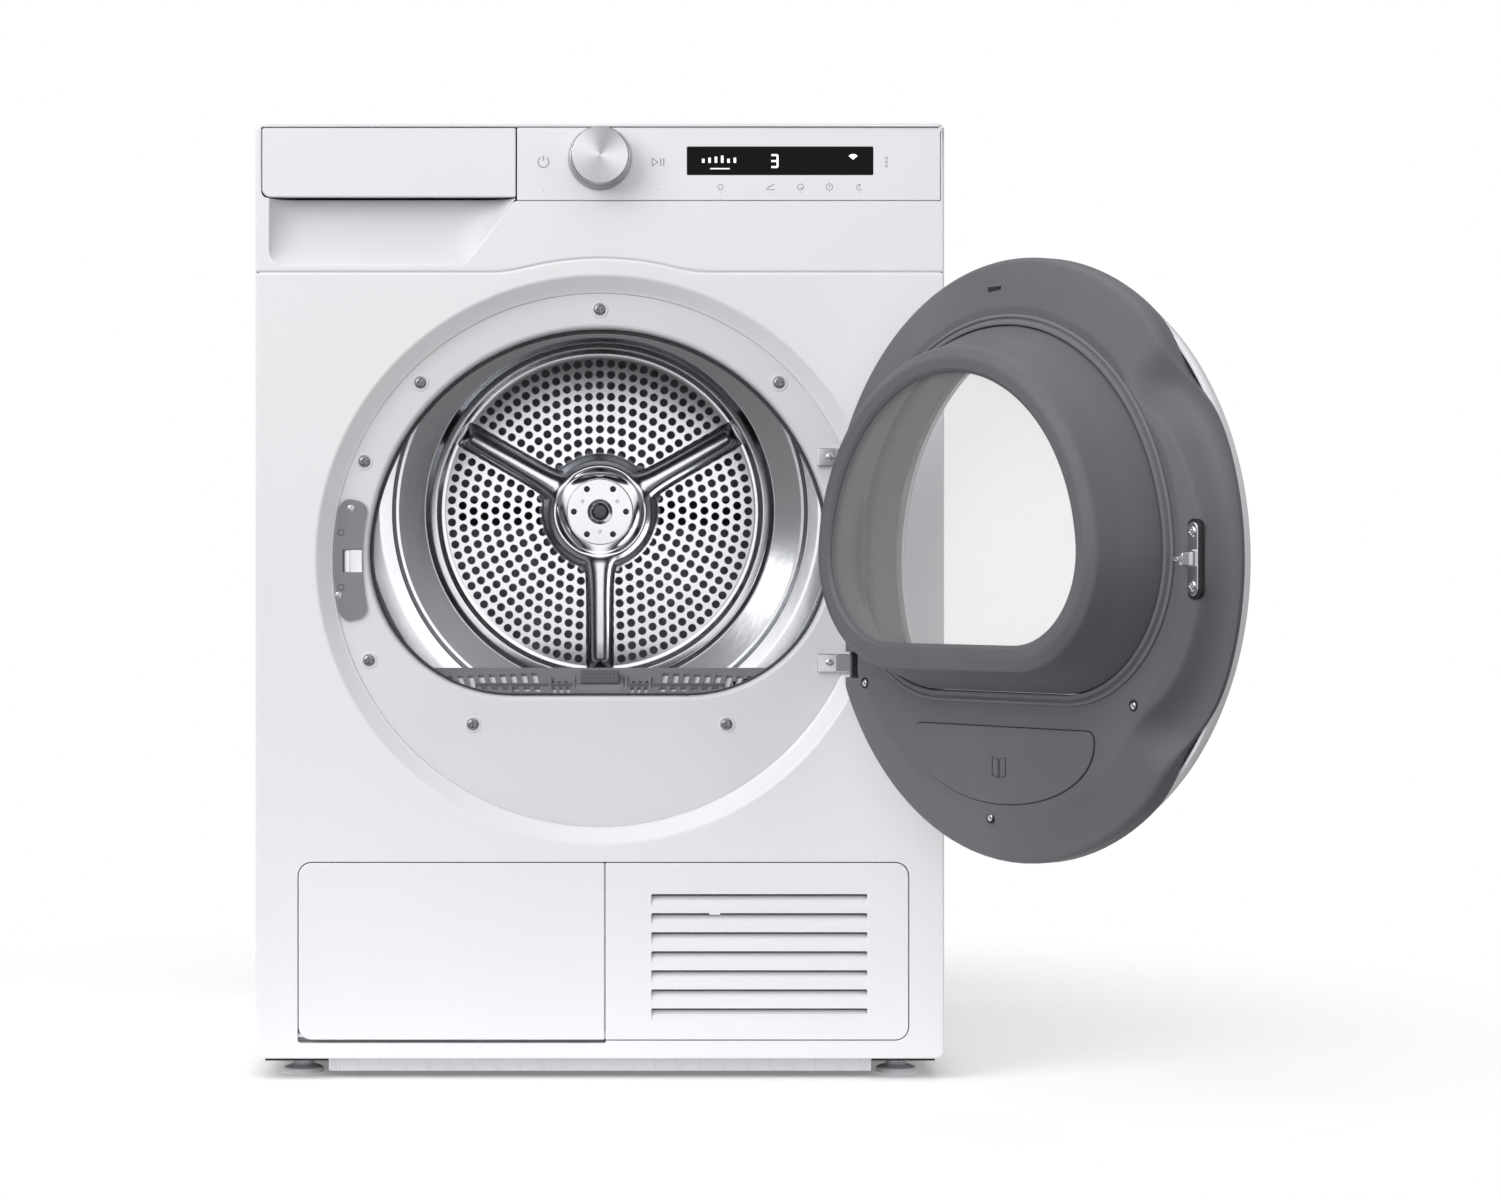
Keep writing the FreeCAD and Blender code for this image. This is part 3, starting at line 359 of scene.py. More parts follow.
def add_piece(name, shape, body, finish, nodes=(), wall=0.0, face=None, sharp=38):
    """Makes a piece from millimetres: doubles merged, faces turned out, edges above sharp kept.

    An open sheet gets its thickness away from the face direction."""
    points, faces = shape
    mesh = bpy.data.meshes.new(name)
    mesh.from_pydata((points * MM).tolist(), [], [corner for block in faces for corner in block.tolist()])
    work = bmesh.new()
    work.from_mesh(mesh)
    bmesh.ops.remove_doubles(work, verts=work.verts, dist=2e-6)
    bmesh.ops.recalc_face_normals(work, faces=work.faces)
    if face is not None:
        normals = np.array([f.normal[:] for f in work.faces])
        areas = np.array([f.calc_area() for f in work.faces])
        if (normals * areas[:, None]).sum(0) @ np.array(face) < 0:
            bmesh.ops.reverse_faces(work, faces=work.faces)
    work.to_mesh(mesh)
    work.free()
    mesh.shade_smooth()
    mesh.set_sharp_from_angle(angle=math.radians(sharp))
    mesh.materials.append(finish.material)
    piece = bpy.data.objects.new(name, mesh)
    bpy.context.scene.collection.objects.link(piece)
    if wall:
        thick = piece.modifiers.new("wall", "SOLIDIFY")
        thick.thickness, thick.offset = wall * MM, -1
    shading = piece.modifiers.new("shading", "WEIGHTED_NORMAL")
    shading.keep_sharp = True
    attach(piece, body)
    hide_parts(*nodes)
    return piece


def seam(x, gap):
    """The joint between front panel and fascia: a level line that swells over the round recess.

    It is the smooth maximum of the level and a circle concentric with the recess."""
    level = seam_z + 0 * x
    arc = ring_z + np.sqrt(np.maximum(seam_r ** 2 - x ** 2, 0))
    share = np.clip(0.5 + 0.5 * (arc - level) / seam_blend, 0, 1)
    return level + (arc - level) * share + seam_blend * share * (1 - share) - gap


panel_lo, panel_hi = corners("front_panel")
face_y = panel_lo[1]
half = panel_hi[0]
seam_z, seam_r, seam_blend = 704.4, 263.0, 5.0
ring_z = panel_hi[2] - seam_r + 0.8
floor_r = 233.0

enamel = Finish("white enamel", tone(238, 239, 242), 0.3, Coat_Weight=0.15, Coat_Roughness=0.1)
peel = enamel.noise(420, 3)
enamel.set("Roughness", 0.27 + 0.08 * enamel.noise(9, 3))
enamel.set("Base Color", enamel.mix(enamel.noise(3, 4).above(0.3, 0.7), tone(237, 238, 242),
                                    tone(240, 241, 243)))
enamel.relief(peel, 0.00002, 0.6)

sweep_x = np.linspace(half - 3, -half + 3, 161)
row_z1 = corners("service_flap")[1][2]
row_right = corners("louvre_panel")[1][0]
row_left, row_z0 = -262.6, 35.6
row_r = 11.5
panel_line = np.vstack([
    trace([(-half, seam_z - 60, 0), (-half, panel_lo[2], 8), (half, panel_lo[2], 8),
           (half, seam_z - 0.8, 0)], closed=False),
    np.column_stack([sweep_x, seam(sweep_x, 0.8)]),
    np.array([[-half, seam_z - 0.8]]),
])
recess = np.array([(249.5, 0), (248.3, 0.15), (247.2, 0.6), (246.2, 1.5), (236.8, 11.2), (235.6, 12.4),
                   (234.5, 13.1), (233.4, 13.4)])
recess_rows = [(circle(0, ring_z, r, 192), face_y + depth) for r, depth in recess[::-1]]
row_joint = corners("louvre_panel")[0][0] + 0.2
row_line = trace([
    (row_left - 0.8, row_z0 - 2.9, 3), (row_joint, row_z0 - 2.9, 1), (row_joint, row_z0 - 0.8, 1),
    (row_right + 0.8, row_z0 - 0.8, row_r + 0.8), (row_right + 0.8, row_z1 + 0.8, row_r + 0.8),
    (row_left - 0.8, row_z1 + 0.8, row_r + 0.8),
])
panel = skin([
    rim(panel_line, face_y, panel_hi[1], 2.2, 1, 4),
    recess_rows,
    rim(row_line, face_y, face_y + 9, 0.8, -1, 2),
])
hem = plate_flat(box_line(row_left - 3, row_joint, row_z0 - 5, row_z0 + 6, 1), [], face_y + 12.5,
                 face_y + 13.5)
add_piece("front_hem", hem, "cabinet", enamel)
add_piece("front_skin", panel, "cabinet", enamel, ["front_panel"], 1.2, (0, -1, 0))


# ------------------------------------------------------------ side panels and worktop
# Two folded steel sides and the lid that rests on them, in the front's white.
# Their folds are as the press leaves them: edges softened, nothing else added.
def finish_node(name, finish, edge=0.5, limit=40):
    """Keeps a CAD node and its mesh: gives it a finish, softens its edges and evens its shading."""
    node = frame["nodes"][name]
    node.data.materials.clear()
    node.data.materials.append(finish.material)
    weld = node.modifiers.new("weld", "WELD")
    weld.merge_threshold = 2e-6
    if edge:
        soft = node.modifiers.new("edge", "BEVEL")
        soft.width, soft.segments, soft.limit_method = edge * MM, 2, "ANGLE"
        soft.angle_limit = math.radians(limit)
        soft.use_clamp_overlap = True
        soft.harden_normals = False
    shading = node.modifiers.new("shading", "WEIGHTED_NORMAL")
    shading.keep_sharp = True


gloss = Finish("white moulding", tone(240, 241, 244), 0.22, Coat_Weight=0.1, Coat_Roughness=0.08)
gloss.set("Roughness", 0.2 + 0.08 * gloss.noise(12, 3))
gloss.set("Base Color", gloss.mix(gloss.noise(4, 3).above(0.3, 0.7), tone(238, 239, 243),
                                  tone(241, 242, 245)))
gloss.relief(gloss.noise(900, 2), 0.00001, 0.5)
finish_node("side_panel_left", enamel)
finish_node("side_panel_right", enamel)
slab_lo, slab_hi = corners("worktop")
slab_section = trace([
    (slab_lo[0], slab_lo[2], 0.6), (slab_lo[0] + 2.6, slab_lo[2], 0.6),
    (slab_lo[0] + 2.6, slab_hi[2] - 2.6, 6.5),
    (slab_hi[0] - 2.6, slab_hi[2] - 2.6, 6.5), (slab_hi[0] - 2.6, slab_lo[2], 0.6),
    (slab_hi[0], slab_lo[2], 0.6),
    (slab_hi[0], slab_hi[2], 9), (slab_lo[0], slab_hi[2], 9),
])
slab_end = trace([(slab_lo[0] + 0.5, slab_lo[2], 1.2), (slab_hi[0] - 0.5, slab_lo[2], 1.2),
                  (slab_hi[0] - 0.5, slab_hi[2] - 0.5, 8.5),
                 (slab_lo[0] + 0.5, slab_hi[2] - 0.5, 8.5)])
top_lid = gather(plate(slab_section, slab_hi[1], slab_lo[1], 0.5, (), 2),
                 plate(slab_end, slab_hi[1] + 0.6, slab_hi[1] - 2, 0.8))
add_piece("top_lid", top_lid, "cabinet", gloss, ["worktop"])


# ------------------------------------------------------------ top fascia
# One hollow white moulding across the top, with openings for the drawer, the finger scoop
# and the control panel. Its lower edge follows the joint over the door recess.
fascia_hi = corners("fascia")[1]
drawer_lo, drawer_hi = corners("drawer_front")
scoop_lo = corners("grip_scoop")[0]
control_lo, control_hi = corners("control_panel")
top_r = 9.0
row_base, row_top = control_lo[2] - 0.5, control_hi[2] + 0.5
scoop_x0, scoop_slant, scoop_x1 = -288.0, -117.0, -74.5
fascia_line = np.vstack([
    np.array([[-half, seam_z]]),
    np.column_stack([-sweep_x, seam(-sweep_x, 0)]),
    trace([(half, seam_z, 0), (half, fascia_hi[2], top_r), (-half, fascia_hi[2], top_r),
           (-half, fascia_hi[2] - 40, 0)], closed=False)[:-1],
])
opening_line = trace([
    (-274, scoop_lo[2], 0), (scoop_slant, scoop_lo[2], 12), (scoop_x1, row_base, 5),
    (control_hi[0] + 0.5, row_base, 1), (control_hi[0] + 0.5, row_top, 1),
    (drawer_lo[0] - 0.8, row_top, 1),
    (drawer_lo[0] - 0.8, drawer_lo[2] - 0.8, 6), (scoop_x0, drawer_lo[2] - 0.8, 1),
    (scoop_x0, scoop_lo[2] + 1, 13),
])
fascia = skin([rim(fascia_line, face_y, fascia_hi[1], 2.0, 1, 4),
               rim(opening_line, face_y, face_y + 14, 0.9, -1, 3)])
ledge_x = np.linspace(-half + 3, half - 3, 121)
ledge_line = np.vstack([np.column_stack([ledge_x, seam(ledge_x, 5)]),
                        np.column_stack([ledge_x, seam(ledge_x, -5)])[::-1]])
ledge = plate_flat(ledge_line, [], face_y + 1.4, face_y + 2.4)
add_piece("fascia_flange", ledge, "cabinet", gloss)
add_piece("top_fascia", fascia, "cabinet", gloss, ["fascia"], 1.6, (0, -1, 0))


# ------------------------------------------------------------ condensate drawer
# A white front with the flat water tank behind it. The front's lower edge is the finger grip,
# so its back is undercut over the scoop; the tank is thin translucent plastic.
drawer_line = trace([
    (drawer_lo[0], drawer_lo[2], 7), (drawer_hi[0], drawer_lo[2], 1.3), (drawer_hi[0], drawer_hi[2], 1.3),
    (drawer_lo[0], drawer_hi[2], 2),
])
drawer = plate(drawer_line, face_y, drawer_hi[1], 1.0)
add_piece("condensate_drawer", drawer, "tank", gloss, ["drawer_front"])
natural = Finish("natural plastic", tone(214, 218, 222), 0.42, Subsurface_Weight=0.1)
natural.set("Roughness", 0.38 + 0.12 * natural.noise(30, 4))
natural.set("Base Color", natural.mix(natural.noise(14, 4), tone(206, 211, 216), tone(220, 224, 227)))
natural.relief(natural.noise(300, 3), 0.0001, 0.4)
finish_node("tank_body", natural, 1.5)


# ------------------------------------------------------------ finger scoop
# The hollow under the drawer front, a separate light grey liner clipped into the fascia.
# Its floor falls back as it rises, so it is deepest right under the drawer.
satin = Finish("light grey moulding", tone(226, 227, 230), 0.4)
satin.set("Roughness", 0.36 + 0.1 * satin.noise(25, 4))
satin.set("Base Color", satin.mix(satin.noise(6, 3).above(0.3, 0.7), tone(224, 225, 228),
                                  tone(228, 229, 232)))
satin.relief(satin.noise(1500, 2), 0.00002, 0.5)


def scoop_surface():
    """Depth over a grid: rises as a sine from the lower edge, and falls off near both sides.

    depth = 16.5 sin(pi/2 t)^0.8 (1 - exp(-d/9)), t the share of the height, d the distance to a side."""
    t = np.linspace(0, 1, 41)[:, None]
    s = np.linspace(0, 1, 81)[None, :]
    z = scoop_lo[2] - 0.5 + t * (row_base + 3.0 - scoop_lo[2])
    corner = 13 - np.sqrt(np.maximum(169 - np.maximum(13 - (z - scoop_lo[2]), 0) ** 2, 0))
    left = scoop_x0 - 0.5 + corner
    slant = scoop_slant + (scoop_x1 - scoop_slant) * t + 0.5
    x = left + (slant - left) * s
    reach = np.minimum(x - left, (slant - x) * 0.8)
    depth = 16.5 * np.sin(math.pi / 2 * t) ** 0.8 * (1 - np.exp(-reach / 9)) + 0.6
    y = face_y + np.minimum(depth + 0.8, 17.5)
    return np.stack([x, y, z + 0 * x], -1).reshape(-1, 3), [weave(41, 81, False, False)]


add_piece("finger_scoop", scoop_surface(), "cabinet", satin, ["grip_scoop"],
          1.0, (0, -1, 0))


# ------------------------------------------------------------ control panel
# A glossy white strip flush with the drawer front. The touch keys are printed signs with a
# small dot under each; only the dial and the display break its surface.
dial_lo, dial_hi = corners("program_dial")
dial_x, dial_z = (dial_lo[0] + dial_hi[0]) / 2, (dial_lo[2] + dial_hi[2]) / 2
window_lo, window_hi = corners("display_window")
control_line = box_line(control_lo[0], control_hi[0], control_lo[2], control_hi[2], 1.0)
window_line = box_line(window_lo[0] - 0.1, window_hi[0] + 0.1, window_lo[2] - 0.1, window_hi[2] + 0.1,
                       1.0)
control = plate(control_line, face_y, control_hi[1], 0.7, [circle(dial_x, dial_z, 9.2, 48), window_line])
add_piece("control_strip", control, "cabinet", gloss, ["control_panel"])


def ribbon(points, width, front, back, closed=False):
    """A printed line: the points' mitred offsets to each side, as a thin closed plate."""
    points = np.array(points, float)
    if closed:
        return plate_flat(inward(points, -width / 2), [inward(points, width / 2)], front, back)
    ahead = np.gradient(points, axis=0)
    ahead = ahead / np.linalg.norm(ahead, axis=1)[:, None]
    side = np.column_stack([-ahead[:, 1], ahead[:, 0]]) * width / 2
    return plate_flat(np.vstack([points - side, (points + side)[::-1]]), [], front, back)


def arc(x, z, radius, start, end, count=25):
    """Points along a circle between two angles in degrees."""
    t = np.radians(np.linspace(start, end, count))
    return np.column_stack([x + radius * np.cos(t), z + radius * np.sin(t)])


def power_sign(x, z, size, front, back):
    """A broken ring with a bar in the gap."""
    ring = ribbon(arc(x, z, size, 125, 415), 0.9, front, back)
    return gather(ring, ribbon([(x, z + size * 1.15), (x, z + size * 0.25)], 0.9, front, back))


def play_sign(x, z, size, front, back):
    """A triangle for start and two bars for pause."""
    wedge = np.array([(x - size * 1.3, z - size * 0.8), (x - size * 0.1, z),
                      (x - size * 1.3, z + size * 0.8)])
    bars = [ribbon([(x + size * k, z - size * 0.8), (x + size * k, z + size * 0.8)], 0.9, front, back)
            for k in (0.5, 1.1)]
    return gather(ribbon(wedge, 0.7, front, back, True), *bars)


ink = Finish("printed grey", tone(152, 153, 158), 0.5)
ink.set("Base Color", ink.mix(ink.noise(800, 2), tone(146, 147, 152), tone(160, 161, 166)))
sign_front, sign_back = face_y - 0.12, face_y + 0.05
key_z = 778.5
signs = [
    power_sign(-49.2, 800.2, 4.6, sign_front, sign_back),
    play_sign(51.0, 800.2, 4.2, sign_front, sign_back),
    ribbon(circle(105, key_z, 2.2, 24), 0.6, sign_front, sign_back, True),
    ribbon([(145, key_z - 1.8), (148, key_z + 0.6), (152, key_z + 2.2)], 0.7, sign_front, sign_back),
    ribbon([(145.5, key_z - 2.4), (152.5, key_z - 2.4)], 0.6, sign_front, sign_back),
    ribbon(circle(174.7, key_z, 2.8, 6), 0.6, sign_front, sign_back, True),
    ribbon([(174.7, key_z - 1), (176.6, key_z - 1)], 0.6, sign_front, sign_back),
    ribbon(circle(199.9, key_z, 2.8, 24), 0.6, sign_front, sign_back, True),
    ribbon([(199.9, key_z + 1.8), (199.9, key_z), (201.2, key_z - 0.2)], 0.5, sign_front, sign_back),
    ribbon(arc(226, key_z - 0.4, 2.4, 60, 330, 20), 0.6, sign_front, sign_back),
    ribbon([(226, key_z + 2.6), (226, key_z - 0.4)], 0.6, sign_front, sign_back),
]
for dot in (104.9, 148.5, 174.7, 199.9, 226.0):
    signs.append(plate_flat(circle(dot, key_z - 4.6, 0.45, 10), [], sign_front, sign_back))
for dot_z in (796.6, 800.2, 803.8):
    signs.append(ribbon(circle(249.6, dot_z, 1.0, 12), 0.5, sign_front, sign_back, True))
signs.append(plate_flat(circle(-49.2, 776.0, 0.5, 10), [], sign_front, sign_back))
signs.append(plate_flat(circle(51.0, 776.0, 0.5, 10), [], sign_front, sign_back))
add_piece("printed_signs", gather(*signs), "cabinet", ink)


# ------------------------------------------------------------ display
# A black window flush with the strip; lit figures and bars shine through it.
# The figures are generic: a level number, a row of bars and a signal fan.
smoked = Finish("black glass", tone(5, 6, 9), 0.06, Specular_IOR_Level=0.08)
smoked.set("Roughness", 0.05 + 0.05 * smoked.noise(40, 3))
smoked.set("Base Color", smoked.mix(smoked.noise(20, 2), tone(3, 4, 7), tone(9, 10, 13)))
window = plate(box_line(window_lo[0], window_hi[0], window_lo[2], window_hi[2], 0.9), face_y - 0.1,
               face_y + 1.5, 0.3)
add_piece("display_glass", window, "cabinet", smoked, ["display_window"])
lit = Finish("lit figures", tone(240, 242, 246), 0.4, Emission_Strength=0.75)
lit.set("Emission Color", lit.mix(lit.noise(500, 2), tone(232, 236, 242), tone(250, 251, 255)))
lit_front, lit_back = face_y - 0.2, face_y - 0.05


def figure(x, z, width, height, strokes):
    """A seven-bar number: strokes names the lit bars, t top, m middle, b base, and the four sides."""
    w, h = width / 2, height / 2
    bars = {"t": [(-w, h), (w, h)], "m": [(-w, 0), (w, 0)], "b": [(-w, -h), (w, -h)],
            "p": [(-w, 0), (-w, h)],
            "q": [(w, 0), (w, h)], "r": [(-w, -h), (-w, 0)], "s": [(w, -h), (w, 0)]}
    return [ribbon(np.array(bars[k]) + (x, z), 1.7, lit_front, lit_back) for k in strokes]


figures = figure(152, 801, 5.4, 10.4, "tmbqs")
figures += [ribbon([(90 + 5.5 * k, 799.5), (90 + 5.5 * k, 799.5 + 3.5 + 0.9 * (k % 4))], 2.2,
                   lit_front, lit_back)
            for k in range(6)]
figures += [ribbon([(96, 794.4), (113, 794.4)], 1.0, lit_front, lit_back)]
fan_edge = np.vstack([[(220.5, 802.2)], arc(220.5, 802.2, 5.0, 40, 140, 14)])
figures.append(plate_flat(fan_edge, [], lit_front, lit_back))
add_piece("lit_figures", gather(*figures), "cabinet", lit)


# ------------------------------------------------------------ program dial
# A turned aluminium cap, its face finely brushed round the middle and dished a little, on a
# polished skirt that widens towards the panel. It turns without stops.
def turned(profile, x, z, count=96, closed=False):
    """A line of (radius, y) points turned about an axis along Y through (x, z)."""
    profile = np.array(profile, float)
    t = np.linspace(0, 2 * math.pi, count, endpoint=False)[None, :]
    r, y = profile[:, :1], profile[:, 1:]
    points = np.stack([x + r * np.cos(t), y + 0 * t, z + r * np.sin(t)], -1).reshape(-1, 3)
    return points, [weave(len(profile), count, closed)]


class Metal(Finish):
    """A bare metal with a polish that varies softly."""

    def __init__(self, name, colour, roughness, spread=0.06, **uniform):
        super().__init__(name, colour, roughness, Metallic=1.0, **uniform)
        self.set("Roughness", roughness + spread * self.noise(18, 4))
        darker = tuple(0.92 * c for c in colour[:3]) + (1.0,)
        self.set("Base Color", self.mix(self.noise(7, 3), darker, colour))


brushed = Metal("brushed aluminium", tone(226, 227, 231), 0.24)
px, _, pz = brushed.parts()
around = brushed.maths("ARCTAN2", pz - dial_z * MM, px - dial_x * MM)
# Painted highlights: the base colour brightens and darkens round the dial's axis in lobes, standing in
# for light reflected off the brushing.
painted_spoke_highlight = brushed.maths("COSINE", 2 * around + 0.5) * 0.5 + 0.5
fine = brushed.maths("SINE", 3.0 * around + 0.9) * 0.5 + 0.5
painted_sheen = painted_spoke_highlight * 0.75 + fine * 0.25
brushed.set("Base Color", brushed.mix(painted_sheen, tone(150, 151, 155), tone(208, 209, 212)))
reach = brushed.maths("SQRT",
                      (px - dial_x * MM) * (px - dial_x * MM) + (pz - dial_z * MM) * (pz - dial_z * MM))
brushed.relief(brushed.maths("SINE", reach * 9000.0), 0.000006, 0.5)
cap_r = 25.2
cap = trace([(0, dial_lo[1] + 0.8, 0), (cap_r - 1, dial_lo[1] + 0.1, 0.6), (cap_r, dial_lo[1] + 1.2, 0.6),
             (cap_r + 0.3, dial_lo[1] + 13.5, 0.6), (cap_r - 2, dial_lo[1] + 14.2, 0.4),
             (0, dial_lo[1] + 14.2, 0)],
            closed=False)
skirt = trace([(cap_r - 1.5, dial_lo[1] + 13.6, 0), (cap_r + 0.7, dial_lo[1] + 13.6, 0.5),
               (dial_hi[0] - dial_x, face_y - 1.4, 1.0), (dial_hi[0] - dial_x - 0.4, face_y - 0.3, 0.4),
               (8.8, face_y - 0.3, 0.4), (8.8, dial_hi[1], 0), (0, dial_hi[1], 0)], closed=False)
dial = gather(turned(cap, dial_x, dial_z, 128), turned(skirt, dial_x, dial_z, 128))
add_piece("dial", dial, "dial", brushed, ["program_dial"])


# ------------------------------------------------------------ opening ring
# The round floor of the recess is a light grey moulding; the D-shaped neck behind its lip is
# darker grey, a painted shade, and reaches back into the drum's mouth. Seven round-head screws hold it to
# the front.
ring_y = corners("opening_ring")[0][1]
neck_y = corners("lint_filter_housing")[1][1] + 2.0
d_radius, d_corner, d_flat = 203.0, 126.0, -119.6


def d_guide():
    """The D outline's base points, directions and sizes: each point is base + (size - inset) direction.

    The top is an arc about the centre, the corners are smaller arcs, the bottom is straight."""
    rise = d_flat + d_corner
    side = math.sqrt((d_radius - d_corner) ** 2 - rise ** 2)
    tilt = math.atan2(rise, side)
    top = np.linspace(tilt, math.pi - tilt, 100)
    left = np.linspace(math.pi - tilt, 1.5 * math.pi, 34)[1:]
    right = np.linspace(-0.5 * math.pi, tilt, 34)[:-1]
    run = np.linspace(-side, side, 24)[1:-1]
    turns = np.concatenate([top, left, np.full(len(run), -0.5 * math.pi), right])
    base = np.vstack([np.zeros((len(top), 2)), np.tile((-side, rise), (len(left), 1)),
                      np.column_stack([run, np.full(len(run), rise)]),
                      np.tile((side, rise), (len(right), 1))])
    size = np.concatenate([np.full(len(top), d_radius), np.full(len(turns) - len(top), d_corner)])
    return base, np.column_stack([np.cos(turns), np.sin(turns)]), size


def d_line(inset, z):
    """The door opening's D outline about height z, drawn in by inset."""
    base, heading, size = d_guide()
    return base + (size - inset)[:, None] * heading + (0, z)


def carry(outline_at, profile, closed=True):
    """A (inset, y) profile carried round an outline: each row is the outline at that inset and height."""
    profile = np.asarray(profile, float)
    rows = [lift(outline_at(inset), y) for inset, y in profile]
    return np.vstack(rows), [weave(len(rows), len(rows[0]), closed)]


neck = trace([(0, ring_y + 4, 0), (0.0, ring_y + 9, 0), (1.0, ring_y + 10, 0.5)], closed=False)
lip_turn = np.linspace(0, math.pi / 2, 6)
lip = [(d_line(-4.0 * (1 - math.sin(a)) , ring_z), ring_y + 4.0 * (1 - math.cos(a)))
       for a in lip_turn[::-1]]
ring_sides = [
    [(circle(0, ring_z, floor_r + 0.3, 192), ring_y + 3),
     (circle(0, ring_z, floor_r + 0.3, 192), ring_y)],
    [(d_line(inset, ring_z), y) for inset, y in neck[::-1]] + lip,
]
catch_lo = corners("catch_plate")[0]
slot_x0, slot_x1 = -225.0, -208.0
slot_z0, slot_z1 = ring_z - 11.0, ring_z + 9.0
slot_line = box_line(slot_x0, slot_x1, slot_z0, slot_z1, 1.2)
ring_sides.append([(slot_line, ring_y + 6), (slot_line, ring_y)])
add_piece("recess_floor", skin(ring_sides), "cabinet", satin, ["opening_ring"],
          2.2, (0, -1, 0), 50)

throat = trace([(1.2, ring_y + 9.4, 0), (0.6, ring_y + 14, 3), (0.0, neck_y - 1.0, 0.5),
                (-2.6, neck_y, 0)], closed=False)
# The neck's dark grey is painted shade: it is the recess moulding darkened for its depth inside the
# opening.
neck_painted_shade = Finish("shaded grey moulding", tone(76, 77, 81), 0.5)
neck_painted_shade.set("Roughness", 0.46 + 0.12 * neck_painted_shade.noise(24, 4))
neck_painted_shade.set("Base Color", neck_painted_shade.mix(neck_painted_shade.noise(8, 3).above(0.3, 0.7), tone(72, 73, 77), tone(80, 81, 85)))
neck_painted_shade.relief(neck_painted_shade.noise(1400, 2), 0.00003, 0.5)
add_piece("opening_neck", carry(lambda inset: d_line(inset, ring_z), throat, False), "cabinet", neck_painted_shade,
          (), 1.6)

steel = Metal("polished steel", tone(214, 215, 219), 0.16)
screw_metal = Metal("screw steel", tone(150, 151, 155), 0.28)


def screw_head(x, y, z, radius, height, out=-1):
    """A round head with a cross recess: a turned cap with four notches pressed into its top."""
    t = np.linspace(0, 2 * math.pi, 32, endpoint=False)[None, :]
    r = np.array([0, 0.18, 0.36, 0.46, 0.6, 0.8, 0.93, 1.0, 1.0])[:, None]
    dome = np.array([1, 0.99, 0.96, 0.93, 0.88, 0.72, 0.5, 0.2, -0.2])[:, None]
    arm = np.clip(0.2 - np.minimum(abs(np.sin(t)), abs(np.cos(t))) * r, 0, 0.1) * 10
    sunk = arm * (r < 0.5) * 0.55
    up = out * height * (dome - sunk)
    points = np.stack([x + radius * r * np.cos(t), y + up, z + radius * r * np.sin(t)], -1).reshape(-1, 3)
    return points, [weave(9, 32)]


ring_spots = [(0, 219), (-157, 155), (157, 155), (-206, 86), (-202, -88), (-111, -144), (111, -144)]
heads = [screw_head(x, ring_y, ring_z + z, 5.0, 1.6) for x, z in ring_spots]
cups = [turned([(7.4, ring_y - 0.05), (6.8, ring_y - 0.7), (5.9, ring_y - 0.7), (5.2, ring_y + 0.3)],
               x, ring_z + z, 32)
        for x, z in ring_spots]
add_piece("ring_fixings", gather(*heads), "cabinet", screw_metal, ["ring_screws"])
add_piece("screw_cups", gather(*cups), "cabinet", satin, (), 0.2, (0, -1, 0))


# ------------------------------------------------------------ door catch
# A kidney-shaped grey cover on the recess floor, with a square slot for the door's hook and
# two small screws. The sprung lever behind the slot is pressed steel.
grey = Finish("mid grey moulding", tone(131, 132, 136), 0.42)
grey.set("Roughness", 0.38 + 0.12 * grey.noise(30, 4))
grey.set("Base Color", grey.mix(grey.noise(8, 3).above(0.3, 0.7), tone(127, 128, 132),
                                tone(135, 136, 140)))
grey.relief(grey.noise(1400, 2), 0.00003, 0.5)


def bent(outline):
    """An outline in (length along the arc, radius) wrapped round the recess's left side."""
    turn = outline[:, 0] / 220.0
    return np.column_stack([-outline[:, 1] * np.cos(turn), ring_z + outline[:, 1] * np.sin(turn)])


kidney = bent(np.vstack([
    np.column_stack([np.linspace(-42, 42, 20), np.full(20, 208.5)]),
    trace([(42, 208.5, 0), (52, 208.5, 9), (52, 231.8, 9), (42, 231.8, 0)], closed=False)[1:-1],
    np.column_stack([np.linspace(42, -42, 20), np.full(20, 231.8)]),
    trace([(-42, 231.8, 0), (-52, 231.8, 9), (-52, 208.5, 9), (-42, 208.5, 0)], closed=False)[1:-1],
]))[::-1]
cover = plate(kidney, catch_lo[1], ring_y - 0.05, 0.8, [inward(slot_line, 0.2)])
add_piece("catch_cover", cover, "cabinet", grey, ["catch_plate"])
catch_screws = gather(screw_head(-217.5, catch_lo[1], ring_z + 45, 3.4, 1.0),
                      screw_head(-228.5, catch_lo[1], ring_z - 31, 3.2, 1.0))
add_piece("catch_screws", catch_screws, "cabinet", steel)
marks = gather(ribbon(circle(-226.5, ring_z + 24, 2.6, 24), 0.5, catch_lo[1] - 0.1, catch_lo[1] + 0.1,
                      True),
               ribbon(circle(-226.5, ring_z - 24, 2.6, 24), 0.5, catch_lo[1] - 0.1, catch_lo[1] + 0.1,
                      True))
soot = Finish("black moulding", tone(26, 27, 30), 0.45)
soot.set("Roughness", 0.4 + 0.15 * soot.noise(25, 4))
soot.set("Base Color", soot.mix(soot.noise(10, 3), tone(20, 21, 24), tone(34, 35, 38)))
soot.relief(soot.noise(1200, 2), 0.00003, 0.5)
add_piece("catch_marks", marks, "cabinet", soot)
finish_node("catch_lever", steel, 0.4)
pocket = box_line(slot_x0 - 1.5, slot_x1 + 1.5, slot_z0 - 1.5, slot_z1 + 1.5, 1.5)
sleeve = [lift(inward(slot_line, 0.1), ring_y + 0.4), lift(pocket, ring_y + 1.0),
          lift(pocket, ring_y + 8.5)]
well = (np.vstack(sleeve), [weave(3, len(pocket))])
add_piece("catch_well", well, "cabinet", soot, (), 0.6, (0, -1, 0))


